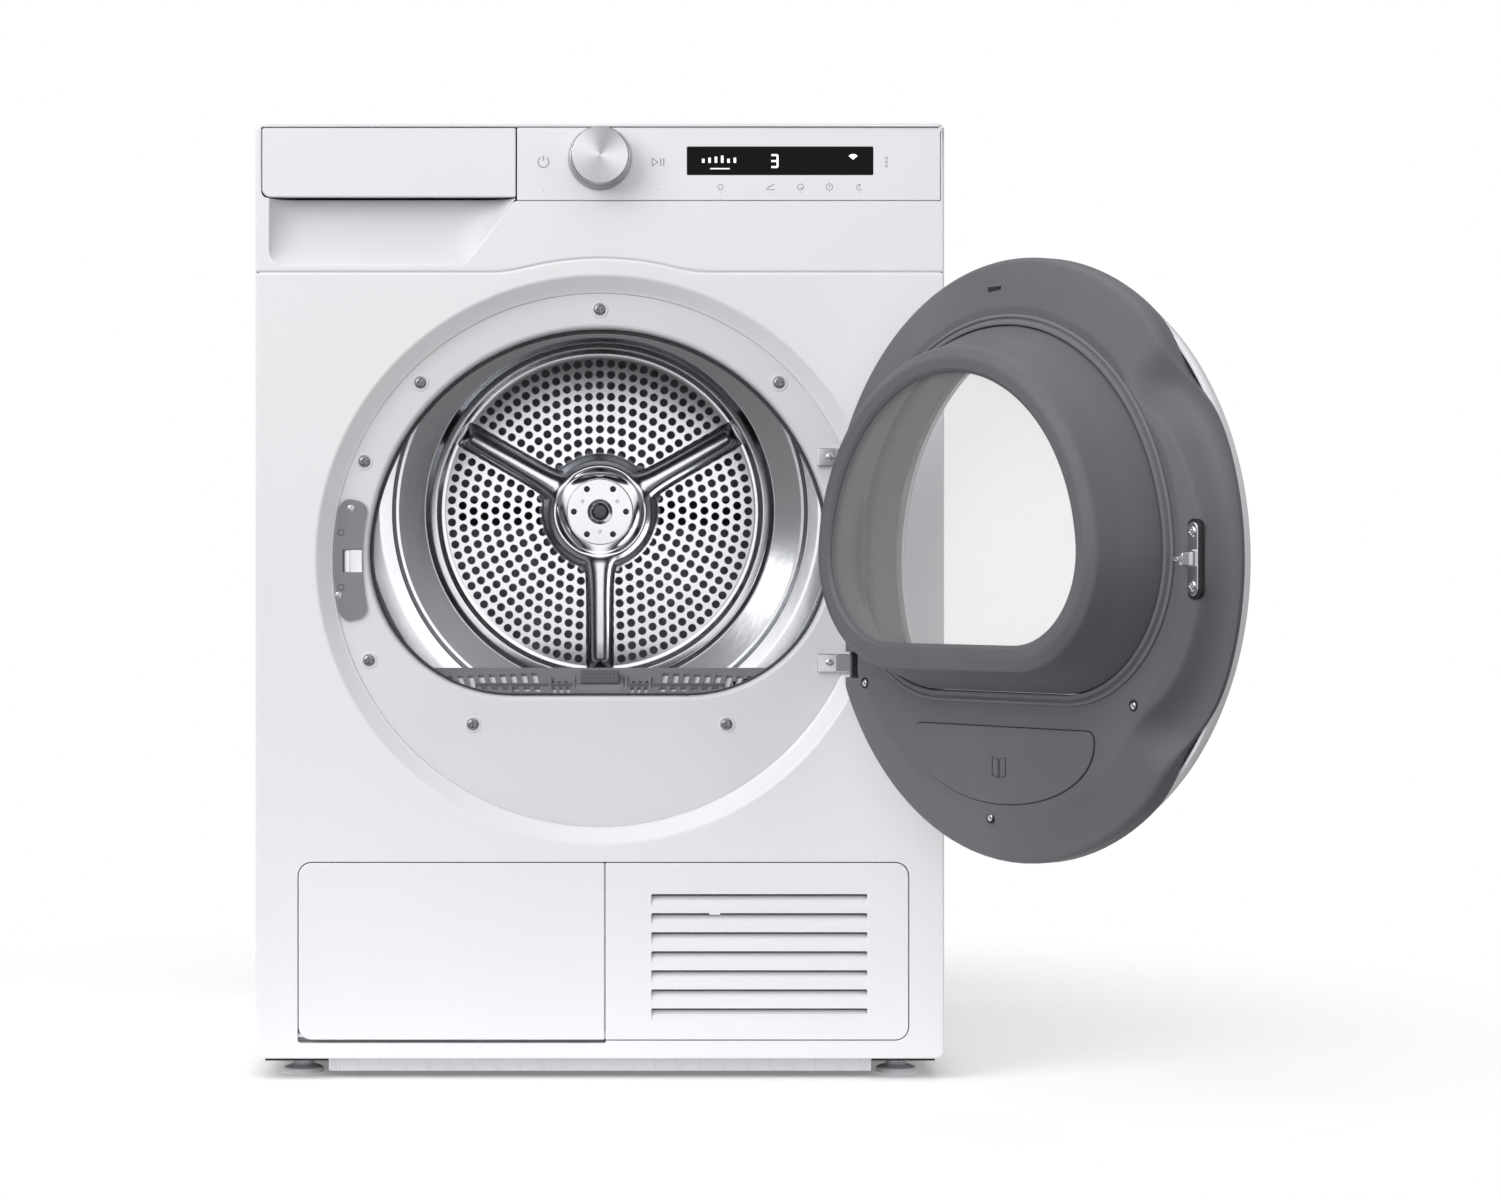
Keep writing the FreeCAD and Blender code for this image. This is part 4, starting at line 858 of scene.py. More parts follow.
# ------------------------------------------------------------ lint filter and its housing
# A grey sill at the bottom of the neck that slopes up to the back, with slanted air slots on
# both sides of a middle block; the flat filter drops into it and has a finger tab.
sill_lo, sill_hi = corners("lint_filter_housing")
sill_z0, sill_z1 = ring_z + d_flat + 0.4, ring_z + d_flat + 24.0


def on_slope(outline, sink):
    """An (x, s) outline on the sill: s from 0 to 1 goes back and up, and sink lies below its face."""
    s = outline[:, 1]
    y = sill_lo[1] + 1 + s * (sill_hi[1] - sill_lo[1] - 1)
    z = sill_z0 + (sill_z1 - sill_z0) * (0.25 * s + 0.75 * s ** 1.5)
    return np.column_stack([outline[:, 0], y + 0.45 * sink, z - 0.9 * sink])


def sill_reach(s):
    """Half the D opening's width at the height that the sill has at s."""
    z = d_flat + 0.4 + (sill_z1 - sill_z0) * (0.25 * s + 0.75 * s ** 1.5) - (d_flat + d_corner)
    side = math.sqrt((d_radius - d_corner) ** 2 - (d_flat + d_corner) ** 2)
    return side + math.sqrt(max((d_corner - 0.5) ** 2 - z * z, 0))


steps = np.linspace(0, 1, 14)
reaches = np.array([sill_reach(s) for s in steps])
sill_edge = np.vstack([np.column_stack([-reaches[::-1], steps[::-1]]), np.column_stack([reaches, steps])])
slots = []
slat_first, slat_last, slat_pitch = 52, 146, 9.4
for side in (-1, 1):
    for x in np.arange(slat_first, slat_last, slat_pitch):
        low, high = 0.24 + 0.002 * (x - slat_first), 0.86 - 0.0012 * (x - slat_first)
        slot = [(side * x, low), (side * (x + 5.2), low), (side * (x + 9.0), high),
                (side * (x + 3.8), high)]
        slots.append(np.array(slot)[::side])
    for x in (25.5, 31.5, 37.5):
        slots.append(np.array([(side * x, 0.1), (side * (x + 3.2), 0.1), (side * (x + 6.2), 0.62),
                               (side * (x + 3.0), 0.62)])[::side])
face_part = flat([sill_edge, *slots], 0)
surface = face_part[0][:, [0, 2]]
walls = [(np.vstack([on_slope(line, 0), on_slope(line, 3)]), [weave(2, len(line))])
         for line in [sill_edge, *slots]]
sill = gather((on_slope(surface, 0), face_part[1]), (on_slope(surface, 3), face_part[1]), *walls)
block_line = trace([(-21, 0, 1), (21, 0, 1), (21, 25, 2), (-21, 25, 2)])
finger = box_line(-15, 15, 15, 23, 1.5)


def stand(shape, y, z, lean=0.0):
    """A plate drawn upright, leaned back by an angle about its lower edge and set at (y, z)."""
    points, faces = shape
    depth, up = points[:, 1], points[:, 2]
    c, s = math.cos(lean), math.sin(lean)
    return np.column_stack([points[:, 0], y + depth * c + up * s, z + up * c - depth * s]), faces


middle = stand(plate(block_line, 0, 9, 0.8, [finger]), sill_lo[1] + 6, sill_z0 + 0.5, math.radians(48))
cheeks = [stand(plate(box_line(x - 1.2, x + 1.2, 0, 22, 0.6), -0.8, 6, 0.4), sill_lo[1] + 9,
                sill_z0 + 2, math.radians(48))
          for x in (-44, -23, 23, 44)]
add_piece("filter_sill", gather(sill, middle, *cheeks), "cabinet", grey,
          ["lint_filter_housing"])
strips = []
for side in (-1, 1):
    under = np.array([(side * 22, 0.08), (side * 150, 0.2), (side * 150, 0.9), (side * 22, 0.9)])
    strips.append((np.vstack([on_slope(under, 3.3), on_slope(under, 4.0)]),
                   [weave(2, 4), np.array([[0, 1, 2, 3], [4, 5, 6, 7]])]))
grip_line = plate_flat(box_line(-15, 15, 15.5, 17.5, 0.5), [], -0.4, 0.6)
add_piece("sill_backing", gather(*strips), "cabinet", satin)
add_piece("filter_tab_line", stand(grip_line, sill_lo[1] + 6, sill_z0 + 0.5, math.radians(48)),
          "cabinet", soot)
duct = Finish("filter mesh", tone(92, 94, 98), 0.6)
mx, _, mz = duct.parts()
grid_u = duct.maths("SINE", mx * 5200.0)
grid_v = duct.maths("SINE", mz * 5200.0)
lattice = duct.maths("MAXIMUM", grid_u, grid_v).above(0.2, 0.8)
duct.set("Base Color", duct.mix(lattice, tone(58, 60, 64), tone(128, 130, 134)))
duct.relief(lattice, 0.0002, 0.6)
finish_node("lint_filter", duct, 0.8)


# ------------------------------------------------------------ drum
# Rolled stainless sheet with two shallow beads, drawn in to a lipped mouth. It is polished
# like a mirror inside; its back wall is a separate pressed and perforated plate.
drum_lo, drum_hi = corners("drum_shell")
drum_z = (drum_lo[2] + drum_hi[2]) / 2
drum_r = (drum_hi[0] - drum_lo[0]) / 2
mouth_y = drum_lo[1]
plate_y = corners("drum_rear_plate")[0][1] + 5
mirror = Metal("mirror steel", tone(214, 215, 219), 0.13, 0.05)
rolled = mirror.noise(55, 3, (1, 6, 1))
mirror.relief(rolled, 0.00012, 0.5)
bead = trace([
    (drum_r - 1, plate_y + 1, 0), (drum_r - 1, 150, 2), (drum_r - 4, 144, 3), (drum_r - 4, 136, 3),
    (drum_r - 1, 130, 2),
    (drum_r - 1, mouth_y + 62, 2), (drum_r - 4, mouth_y + 56, 3), (drum_r - 4, mouth_y + 46, 3),
    (drum_r - 1, mouth_y + 40, 2), (drum_r - 1, mouth_y + 12, 4), (244, mouth_y + 11, 3),
    (244, mouth_y + 1, 0),
    (244.5, mouth_y + 0.5, 0), (245, mouth_y + 1, 0), (245, mouth_y + 10, 3), (drum_r, mouth_y + 10.6, 3),
    (drum_r, drum_hi[1], 0), (drum_r - 1, drum_hi[1], 0),
], closed=False)
add_piece("drum_wall", turned(bead, 0, drum_z, 256, True), "drum", mirror, ["drum_shell"])

hole_r, hole_pitch, ring_pitch, last_ring, ring_count = 3.8, 11.4, 11.2, 151.6, 9
spoke_turns = np.radians([30, 150, 270])


def perforation():
    """Hole centres: rings of equal pitch, in each bay set out both ways from the bay's middle line.

    A hole is left out where it would cut into a spoke."""
    places = []
    for bay in np.radians([90, 210, 330]):
        for k in range(ring_count):
            radius = last_ring - ring_pitch * k
            turn = hole_pitch / radius * np.arange(-20, 21)
            spare = radius * np.sin(np.radians(60) - np.abs(turn)) - 17.5
            turn = turn[(np.abs(turn) < math.radians(60)) & (spare > 0)] + bay
            places.append(np.column_stack([radius * np.cos(turn), drum_z + radius * np.sin(turn)]))
    return np.vstack(places)


holes = perforation()
pattern = np.linspace(0, 2 * math.pi, 12, endpoint=False)
unit = np.column_stack([np.cos(pattern), np.sin(pattern)])
rings = [place + (hole_r + 0.5) * unit for place in holes]
sheet_face = flat([circle(0, drum_z, 159, 144), circle(0, drum_z, 34, 48), *rings], plate_y + 0.5)
flare = hole_r + np.array([0.5, 0.15, 0.0, 0.0])
funnel = holes[:, None, None, :] + flare[None, :, None, None] * unit[None, None]
depth = plate_y + np.array([0.5, -0.15, 0.35, 3.2])
funnel_points = np.concatenate([
    funnel[..., :1], np.broadcast_to(depth[None, :, None, None], funnel[..., :1].shape), funnel[..., 1:],
], -1).reshape(-1, 3)
one = weave(4, 12)
funnel_faces = (np.arange(len(holes))[:, None, None] * 48 + one[None]).reshape(-1, 4)
add_piece("rear_perforated", gather(sheet_face, (funnel_points, [funnel_faces])), "drum", mirror,
          ["drum_rear_plate"], 0.0, (0, -1, 0), 60)
dish = trace([
    (157.5, plate_y + 0.5, 0), (162, plate_y + 0.4, 2), (166, plate_y - 3.8, 3), (173, plate_y - 3.8, 3),
    (178, plate_y + 1.0, 2), (205, plate_y - 7.0, 2.0), (208.5, plate_y - 7.6, 1),
    (212, plate_y - 0.4, 1),
    (224, plate_y - 2.6, 30), (239, plate_y - 3.4, 2), (243, plate_y + 0.6, 2),
    (266, plate_y - 2.0, 6), (drum_r - 1.2, plate_y - 8, 2),
    (drum_r - 1.2, plate_y - 12, 0),
], closed=False)
add_piece("rear_dish", turned(dish, 0, drum_z, 224), "drum", mirror, (), 0.8, (0, -1, 0))


def spider():
    """Pressed hub and spokes over the perforated plate, as height against reach and turn.

    Spoke height is 8.5 sqrt(1 - (d/14.5)^2) - 1 with d the distance to its line; the hub falls from 6 at
    radius 46 to 0 at 60; the two join by a smooth maximum, and only what stands proud is kept."""
    r = np.concatenate([np.linspace(33, 60, 22), np.linspace(62, 161, 44)])[:, None]
    t = np.linspace(0, 2 * math.pi, 540, endpoint=False)[None, :]
    spoke = np.full((len(r), t.shape[1]), -3.0)
    for turn in spoke_turns:
        along, off = r * np.cos(t - turn), np.abs(r * np.sin(t - turn))
        wide = 14.5 + 9 * np.exp(-(r - 46) / 9)
        rise = 8.5 * np.sqrt(np.maximum(1 - (off / wide) ** 2,
                                        0)) - 1.0 - 3.0 * np.maximum(off / wide - 1, 0)
        rise = np.where(along > 0, rise, -3.0)
        spoke = np.maximum(spoke, rise * np.clip((163 - r) / 10, 0, 1) - 0.6)
    hub = np.interp(r, [33, 38, 39.5, 41.5, 44, 47, 52, 58, 64, 161],
                    [4.6, 4.6, 3.6, 3.6, 6.4, 6.6, 4.6, 0.8, -2.0, -3.0])
    blend = 2.5
    share = np.clip(0.5 + 0.5 * (hub - spoke) / blend, 0, 1)
    height = spoke + (hub - spoke) * share + blend * share * (1 - share)
    points = np.stack([r * np.cos(t), plate_y + 0.4 - height, drum_z + r * np.sin(t)], -1).reshape(-1, 3)
    quads = weave(len(r), t.shape[1])
    return points, [quads[height.reshape(-1)[quads].max(1) > -0.9]]


add_piece("rear_spider", spider(), "drum", mirror, (), 0.8, (0, -1, 0), 70)
hub_lo, hub_hi = corners("hub_bolts")
bolt_ring, pin_ring, bolt_turns = 26.6, 20.5, np.radians([0, 60, 120, 180, 240, 300])
hub_holes = [circle(0, drum_z, 8.2, 36)]
hub_holes += [circle(bolt_ring * math.cos(a), drum_z + bolt_ring * math.sin(a), 2.6, 16)
              for a in bolt_turns]
hub_holes += [circle(pin_ring * math.cos(a), drum_z + pin_ring * math.sin(a), 1.3, 10)
              for a in spoke_turns]
hub_plate = plate(circle(0, drum_z, 37.4, 72), plate_y - 4.6, plate_y + 2, 0.6, hub_holes)
add_piece("hub_disc", hub_plate, "drum", steel)
bolt_line = np.array([(0, 3.1), (1.6, 3.1), (2.5, 3.4), (2.6, 5), (0, 5)]) + (0, hub_lo[1])
bolts = [turned(bolt_line, bolt_ring * math.cos(a), drum_z + bolt_ring * math.sin(a), 16)
         for a in bolt_turns]
nut = turned(trace([(7.4, hub_hi[1] + 3, 0), (7.4, hub_lo[1] + 1.2, 0.6), (9.5, hub_lo[1] + 0.6, 0.8),
                    (12.5, hub_lo[1] + 2.2, 0.8),
                    (13, hub_hi[1] + 1, 0)], closed=False), 0, drum_z, 48)
core = turned([(0, hub_hi[1] - 0.5), (6.6, hub_hi[1] - 0.2), (7.5, hub_hi[1] + 2.5),
               (0, hub_hi[1] + 2.5)], 0, drum_z, 36)
dark_steel = Metal("blackened steel", tone(92, 93, 97), 0.3)
add_piece("hub_bolts_heads", gather(*bolts, core), "drum", dark_steel)
add_piece("hub_nut", nut, "drum", steel, ["hub_bolts"], 0.8, (0, -1, 0))


def lifter(turn):
    """A hollow rib: a rounded ridge, its cross-section a cosine bump, tapered at both ends."""
    y = np.linspace(mouth_y + 16, plate_y - 9, 50)[:, None]
    across = np.linspace(-1, 1, 33)[None, :]
    taper = np.clip(np.minimum(y - (mouth_y + 12), plate_y - 6 - y) / 46, 0, 1)
    taper = taper * taper * (3 - 2 * taper)
    rise = 38 * taper * (0.5 + 0.5 * np.cos(math.pi * across)) ** 0.8
    spread = np.radians(6.5) * across
    r = drum_r - 2 - rise
    points = np.stack([r * np.cos(turn + spread), y + 0 * across, drum_z + r * np.sin(turn + spread)], -1)
    return points.reshape(-1, 3), [weave(50, 33, False, False)]


for k, turn in enumerate(spoke_turns):
    inside_way = (-math.cos(turn), 0, -math.sin(turn))
    nodes = ["drum_lifters"] if k == 0 else ()
    add_piece("lifter_" + str(k + 1), lifter(turn), "drum", grey, nodes, 1.0,
              inside_way)
finish_node("drum_shaft", steel, 0.6)


# ------------------------------------------------------------ door frame
# The dark inner frame of the door: a dished ring with a flat inner face round the tunnel, a
# scooped grip on its free edge and a flat edge with slots for the hinges. One moulding.
hinge = next(joint for joint in frame["joints"] if joint["name"] == "door_hinge")
hinge_x, hinge_y = hinge["pos_m"][0] / MM, hinge["pos_m"][1] / MM
rest_turn = math.radians(-hinge["range_deg"][0])


def swing(shape, turn=rest_turn):
    """A shape drawn with the door closed, turned about the hinge axis to the door's rest place."""
    points, faces = shape
    x, y = points[:, 0] - hinge_x, points[:, 1] - hinge_y
    c, s = math.cos(turn), math.sin(turn)
    return np.column_stack([hinge_x + c * x - s * y, hinge_y + s * x + c * y, points[:, 2]]), faces


def closed_box(node):
    """A door node's lowest and highest corner after the door is turned back to closed."""
    mesh = frame["nodes"][node].data
    flat_list = np.zeros(len(mesh.vertices) * 3, np.float32)
    mesh.vertices.foreach_get("co", flat_list)
    points = swing((flat_list.reshape(-1, 3).astype(float) / MM, []), -rest_turn)[0]
    return points.min(0), points.max(0)


pane_lo, pane_hi = closed_box("outer_window")
door_x, door_z = (pane_lo[0] + pane_hi[0]) / 2, (pane_lo[2] + pane_hi[2]) / 2
frame_lo, frame_hi = closed_box("door_frame")
door_r = -frame_lo[0] + door_x
door_chord = frame_hi[0]
tunnel_tip = closed_box("door_tunnel")[1][1]
root_inset, tip_inset, glass_inset = 14.0, 34.0, 53.0
rim_w, step_w = 21.5, frame_hi[1] - hinge_y
grip_floor = closed_box("door_shell")[1][1] - hinge_y + 3.2

slate = Finish("dark grey moulding", tone(104, 105, 110), 0.5, Specular_IOR_Level=0.35)
slate.set("Roughness", 0.46 + 0.12 * slate.noise(22, 4))
slate.set("Base Color", slate.mix(slate.noise(7, 3).above(0.3, 0.7), tone(101, 102, 107),
                                  tone(107, 108, 113)))
slate.relief(slate.noise(1600, 2), 0.00003, 0.5)


def smooth(value, low, high):
    """0 below low, 1 above high, with a smooth cubic between."""
    t = np.clip((value - low) / (high - low), 0, 1)
    return t * t * (3 - 2 * t)


def frame_surface():
    """The frame's face, from its back edge over the rim and inwards to the tunnel's root.

    Rows follow a profile of distance u from the rim and height w; beyond u = 42 they close in on
    the D outline. Where the grip ends the rim is drawn in, and along the grip the face falls from
    a crease, which bends outwards towards both ends."""
    root = d_line(root_inset - 0.3, 0)
    turn = np.arctan2(root[:, 1], root[:, 0])
    way = np.column_stack([np.cos(turn), np.sin(turn)])
    off = np.abs(np.abs(turn) - math.pi)
    rim_r = door_r - 0.5 - 9 * np.exp(-((off - 0.66) / 0.14) ** 2)
    chord = door_chord - door_x
    rim_r = np.minimum(rim_r, np.where(way[:, 0] > 0.3, chord / np.maximum(way[:, 0], 0.3), 1e9))
    grip = 1 - smooth(off, 0.6, 0.8)
    crease = 21 + 15 * np.minimum(off / 0.7, 1.2) ** 1.5
    line = trace([(3, 5.5, 0), (0, 5.5, 0), (0, rim_w - 1, 7), (40, step_w, 9), (46, step_w, 0)],
                 closed=False)
    slope = np.linspace(8, 36, 15)
    slope = np.column_stack([slope, np.interp(slope, [0, 40], [rim_w - 1, step_w])])
    line = np.vstack([line[:-2][line[:-2, 0] < 7], slope, line[line[:, 0] > 36.5]])
    rows = []
    for u, w in line:
        near = rim_r[:, None] * way - u * way
        d = np.clip((crease - u) / crease, 0, 1)
        w_here = w - grip * max(w - grip_floor, 0) * (1 - (1 - d) ** 2.2)
        rows.append(np.column_stack([near[:, 0], w_here, near[:, 1]]))
    start = rim_r[:, None] * way - 46 * way
    for t in np.linspace(0, 1, 7)[1:]:
        here = start + (root - start) * t
        rows.append(np.column_stack([here[:, 0], np.full(len(here), step_w), here[:, 1]]))
    rows.append(np.column_stack([root[:, 0], np.full(len(root), step_w - 4), root[:, 1]]))
    points = np.vstack(rows) + (door_x, hinge_y, door_z)
    return points, [weave(len(rows), len(root))]


def carve(piece, cutters):
    """Cuts closed shapes out of a finished piece, and keeps the result as its mesh."""
    made = []
    for points, faces in cutters:
        mesh = bpy.data.meshes.new("cutter")
        mesh.from_pydata((points * MM).tolist(), [], [c for block in faces for c in block.tolist()])
        work = bmesh.new()
        work.from_mesh(mesh)
        bmesh.ops.remove_doubles(work, verts=work.verts, dist=2e-6)
        bmesh.ops.recalc_face_normals(work, faces=work.faces)
        work.to_mesh(mesh)
        work.free()
        cutter = bpy.data.objects.new("cutter", mesh)
        bpy.context.scene.collection.objects.link(cutter)
        cut = piece.modifiers.new("cut", "BOOLEAN")
        cut.operation, cut.solver, cut.object = "DIFFERENCE", "EXACT", cutter
        made.append(cutter)
    shading = piece.modifiers.get("shading")
    piece.modifiers.remove(shading)
    bpy.context.view_layer.update()
    result = bpy.data.meshes.new_from_object(piece.evaluated_get(bpy.context.evaluated_depsgraph_get()))
    piece.modifiers.clear()
    piece.data = result
    result.set_sharp_from_angle(angle=math.radians(38))
    shading = piece.modifiers.new("shading", "WEIGHTED_NORMAL")
    shading.keep_sharp = True
    for cutter in made:
        bpy.data.objects.remove(cutter)


def bar(x0, x1, y0, y1, z0, z1, radius=0.4):
    """A closed block with its edges along Y rounded."""
    return plate(box_line(x0, x1, z0, z1, radius), y0, y1, min(radius, 0.4), (), 2)


def upright(shape):
    """A shape drawn round an axis along Y, stood up: its y becomes height, its z becomes depth."""
    points, faces = shape
    return points[:, [0, 2, 1]], faces


hinge_zs = [ring_z + 90.0, ring_z - 90.0]
eye_pockets = [swing(upright(turned([(0, z - 16), (10.5, z - 16), (10.5, z + 16), (0, z + 16)],
                                    hinge_x, hinge_y, 32)))
               for z in hinge_zs]
arm_slots = [swing(bar(186, hinge_x + 12, hinge_y + 14, hinge_y + 45, z - 11, z + 11, 1.0))
             for z in hinge_zs]
way_out = (math.cos(rest_turn + math.pi / 2), math.sin(rest_turn + math.pi / 2), 0)
inner_frame = add_piece("door_inner_frame", swing(frame_surface()), "door", slate,
                        ["door_frame"],
                        2.5, way_out)
carve(inner_frame, eye_pockets + arm_slots)
liner = turned(trace([(191, hinge_y - 14, 0), (189.5, hinge_y - 10, 2), (191, hinge_y + 14, 6),
                      (203, hinge_y + 18, 0),
                      (204, hinge_y + 17, 0), (193, hinge_y + 13, 6), (191.8, hinge_y - 13.6, 0)]),
                      door_x, door_z, 160, True)
add_piece("door_liner", swing(liner), "door", slate)


# ------------------------------------------------------------ door tunnel, inner glass and seal
# A D-shaped funnel screwed to the frame, which carries the flat inner glass behind its broad
# rim. A double rubber lip lies round its root and seals on the recess floor.
def d_round(inset):
    """The D outline about the door's centre."""
    return d_line(inset, door_z) + (door_x, 0)


tip_w = tunnel_tip - hinge_y
funnel_line = trace([
    (root_inset + 0.3, 28, 0), (root_inset + 0.3, 36, 3), (26.5, 66, 40), (tip_inset - 1.6, tip_w - 5, 6),
    (tip_inset + 7, tip_w + 0.2, 8), (glass_inset - 3, tip_w, 2), (glass_inset, tip_w - 2.2, 1.5),
    (glass_inset, tip_w - 5, 0.5), (tip_inset + 4, tip_w - 5.5, 3), (29, 62, 30),
    (root_inset + 3.5, 28, 0),
])
tunnel = carry(d_round, np.column_stack([funnel_line[:, 0], funnel_line[:, 1] + hinge_y]))
add_piece("tunnel_funnel", swing(tunnel), "door", slate, ["door_tunnel"])
glass = Finish("clear glass", (0.9, 0.905, 0.91, 1), 0.02, IOR=1.45, Alpha=0.1)
glass.set("Roughness", 0.012 + 0.02 * glass.noise(10, 2))
glass.set("Base Color", glass.mix(glass.noise(5, 2), (0.86, 0.865, 0.87, 1), (0.92, 0.925, 0.93, 1)))
glass_lo, glass_hi = closed_box("inner_glass")
inner_pane = plate(d_round(glass_inset - 3), glass_hi[1] - 0.4, glass_lo[1], 0.4)
add_piece("inner_pane", swing(inner_pane), "door", glass, ["inner_glass"])
rubber = Finish("grey rubber", tone(112, 113, 117), 0.55)
rubber.set("Roughness", 0.55 + 0.15 * rubber.noise(30, 4))
rubber.set("Base Color", rubber.mix(rubber.noise(12, 3), tone(106, 107, 111), tone(118, 119, 123)))
rubber.relief(rubber.noise(900, 3), 0.00006, 0.5)
lips = trace([(4.6, step_w - 0.6, 0), (4.6, step_w + 1.6, 1), (7.0, step_w + 2.6, 1),
              (8.4, step_w + 0.6, 0.5),
              (10.2, step_w + 4.2, 1), (13.4, step_w + 4.6, 1.2), (root_inset, step_w - 0.6, 0)])
seal = carry(d_round, np.column_stack([lips[:, 0], lips[:, 1] + hinge_y]))
add_piece("tunnel_seal", swing(seal), "door", rubber, ["door_gasket"])


# ------------------------------------------------------------ outer door ring and window
# The white ring that faces the room, crowned towards the clear round window that it holds.
# It clips over the inner frame and shows past the frame's drawn-in edge.
shell_lo, shell_hi = closed_box("door_shell")
shell_r = -shell_lo[0] + door_x
pane_r = (pane_hi[0] - pane_lo[0]) / 2
ring_profile = trace([
    (pane_r + 0.3, pane_lo[1] + 5, 0), (pane_r + 0.3, pane_lo[1] + 0.2, 1.5),
    (pane_r + 6, pane_lo[1] - 1.2, 3),
    (pane_r + 26, pane_lo[1] + 0.5, 20), (shell_r - 5, pane_lo[1] + 13, 12),
    (shell_r, pane_lo[1] + 24, 5),
    (shell_r, shell_hi[1] - 0.4, 0.6), (shell_r - 3, shell_hi[1] - 0.4, 0.6),
    (shell_r - 3.2, pane_lo[1] + 25, 4),
    (shell_r - 8, pane_lo[1] + 16, 10), (pane_r + 26, pane_lo[1] + 3.8, 18),
    (pane_r + 3.5, pane_lo[1] + 5, 0),
])
outer_ring = add_piece("door_outer_ring", swing(turned(ring_profile, door_x, door_z, 224, True)),
                       "door", gloss,
                       ["door_shell"])
carve(outer_ring, eye_pockets)
bowed = np.linspace(0, 1, 14)
front_bow = np.column_stack([pane_r * bowed, pane_lo[1] - 1.6 * (1 - bowed ** 2)])
back_bow = np.column_stack([(pane_r - 0.3) * bowed[::-1],
                            pane_hi[1] - 0.3 - 1.6 * (1 - bowed[::-1] ** 2)])
clear = Finish("clear plastic", (0.9, 0.905, 0.915, 1), 0.03, IOR=1.47, Alpha=0.12)
clear.set("Roughness", 0.015 + 0.025 * clear.noise(8, 2))
clear.set("Base Color", clear.mix(clear.noise(4, 2), (0.87, 0.875, 0.885, 1), (0.93, 0.932, 0.94, 1)))
pane = turned(np.vstack([front_bow, back_bow]), door_x, door_z, 160)
add_piece("door_window", swing(pane), "door", clear, ["outer_window"])


# ------------------------------------------------------------ latch, door screws, document cover
# A steel strike plate with two screws and a hook that enters the slot in the recess. Small
# screws hold the frame to the ring, and a half-moon lid under the tunnel covers the manual.
def face_w(reach):
    """The frame face's height at a distance from the door's centre."""
    return np.interp(door_r - reach, [0, 6, 40], [rim_w - 3, rim_w + 1.0, step_w])


latch_lo, latch_hi = closed_box("door_latch")
latch_x, latch_z = (latch_lo[0] + 6), (latch_lo[2] + latch_hi[2]) / 2
latch_w = face_w(door_x - latch_x)
strike = plate(box_line(latch_x - 5.5, latch_x + 5.5, latch_lo[2], latch_hi[2], 5.4),
               hinge_y + latch_w + 2.6,
               hinge_y + latch_w - 2, 0.7)
strike_screws = [screw_head(latch_x, hinge_y + latch_w + 2.5, latch_z + k, 4.2, 1.5, 1)
                 for k in (-20.5, 20.5)]
tip_y = latch_hi[1] - hinge_y
hook_line = trace([(latch_w, -6, 1), (latch_w + 9, -5, 1), (tip_y - 6, -4.6, 0.6),
                   (tip_y - 5, -2.4, 0.6), (tip_y, -1.6, 0.8),
                   (tip_y, 1.6, 0.8), (tip_y - 5, 2.4, 0.6), (tip_y - 6, 4.6, 0.6),
                   (latch_w + 9, 5, 1), (latch_w, 6, 1)])
hook_points, hook_faces = plate(hook_line, -2, 2, 0.6)
hook = (np.column_stack([latch_x + hook_points[:, 1], hinge_y + hook_points[:, 0],
                         latch_z + hook_points[:, 2]]), hook_faces)
foot_block = bar(latch_x - 4, latch_x + 4, hinge_y + latch_w, hinge_y + latch_w + 6, latch_z - 7,
                 latch_z + 7, 1.5)
add_piece("latch_plate", swing(gather(strike, hook, foot_block, *strike_screws)), "door", steel,
          ["door_latch"])
seat = plate(box_line(latch_x - 7.5, latch_x + 7.5, latch_lo[2] - 2.5, latch_hi[2] + 2.5, 7),
             hinge_y + latch_w + 1.2,
             hinge_y + latch_w - 3, 0.5)
add_piece("latch_seat", swing(seat), "door", soot)

door_spots = [(-153, -112), (15, -208), (175, -103), (175, 103)]
door_heads, door_cups = [], []
for x, z in door_spots:
    w = hinge_y + face_w(math.hypot(x, z))
    door_heads.append(screw_head(door_x + x, w + 0.3, door_z + z, 3.0, 1.1, 1))
    door_cups.append(turned([(4.6, w - 1.2), (4.6, w + 0.5), (3.6, w + 0.55), (3.3, w + 0.1),
                             (3.3, w - 1.2)],
                            door_x + x, door_z + z, 24, True))
add_piece("frame_screws", swing(gather(*door_heads)), "door", steel, ["door_screws"])
add_piece("frame_screw_cups", swing(gather(*door_cups)), "door", soot)

lid_lo, lid_hi = closed_box("document_cover")
lid_x, lid_top, lid_low = lid_hi[0] - door_x, lid_hi[2] - door_z, lid_lo[2] - door_z
bow = np.linspace(0.99 * math.pi, 2.01 * math.pi, 40)
lid_line = np.vstack([
    np.column_stack([(lid_x - 3) * np.cos(bow), lid_top - 10 + (lid_top - 10 - lid_low) * np.sin(bow)]),
    trace([(lid_x - 3, lid_top - 10, 0), (lid_x - 4, lid_top, 7), (-lid_x + 4, lid_top, 7),
           (-lid_x + 3, lid_top - 10, 0)],
          closed=False)[1:-1],
])
lid = plate(lid_line + (door_x, door_z), lid_hi[1] + 0.1, lid_lo[1] - 0.5, 0.5)
add_piece("manual_lid", swing(lid), "door", slate, ["document_cover"])
groove_out, groove_in = inward(lid_line, -0.8), inward(lid_line, 0.2)
groove = plate_flat(groove_out + (door_x, door_z), [groove_in + (door_x, door_z)], lid_lo[1] + 0.12,
                    lid_lo[1] - 0.5)
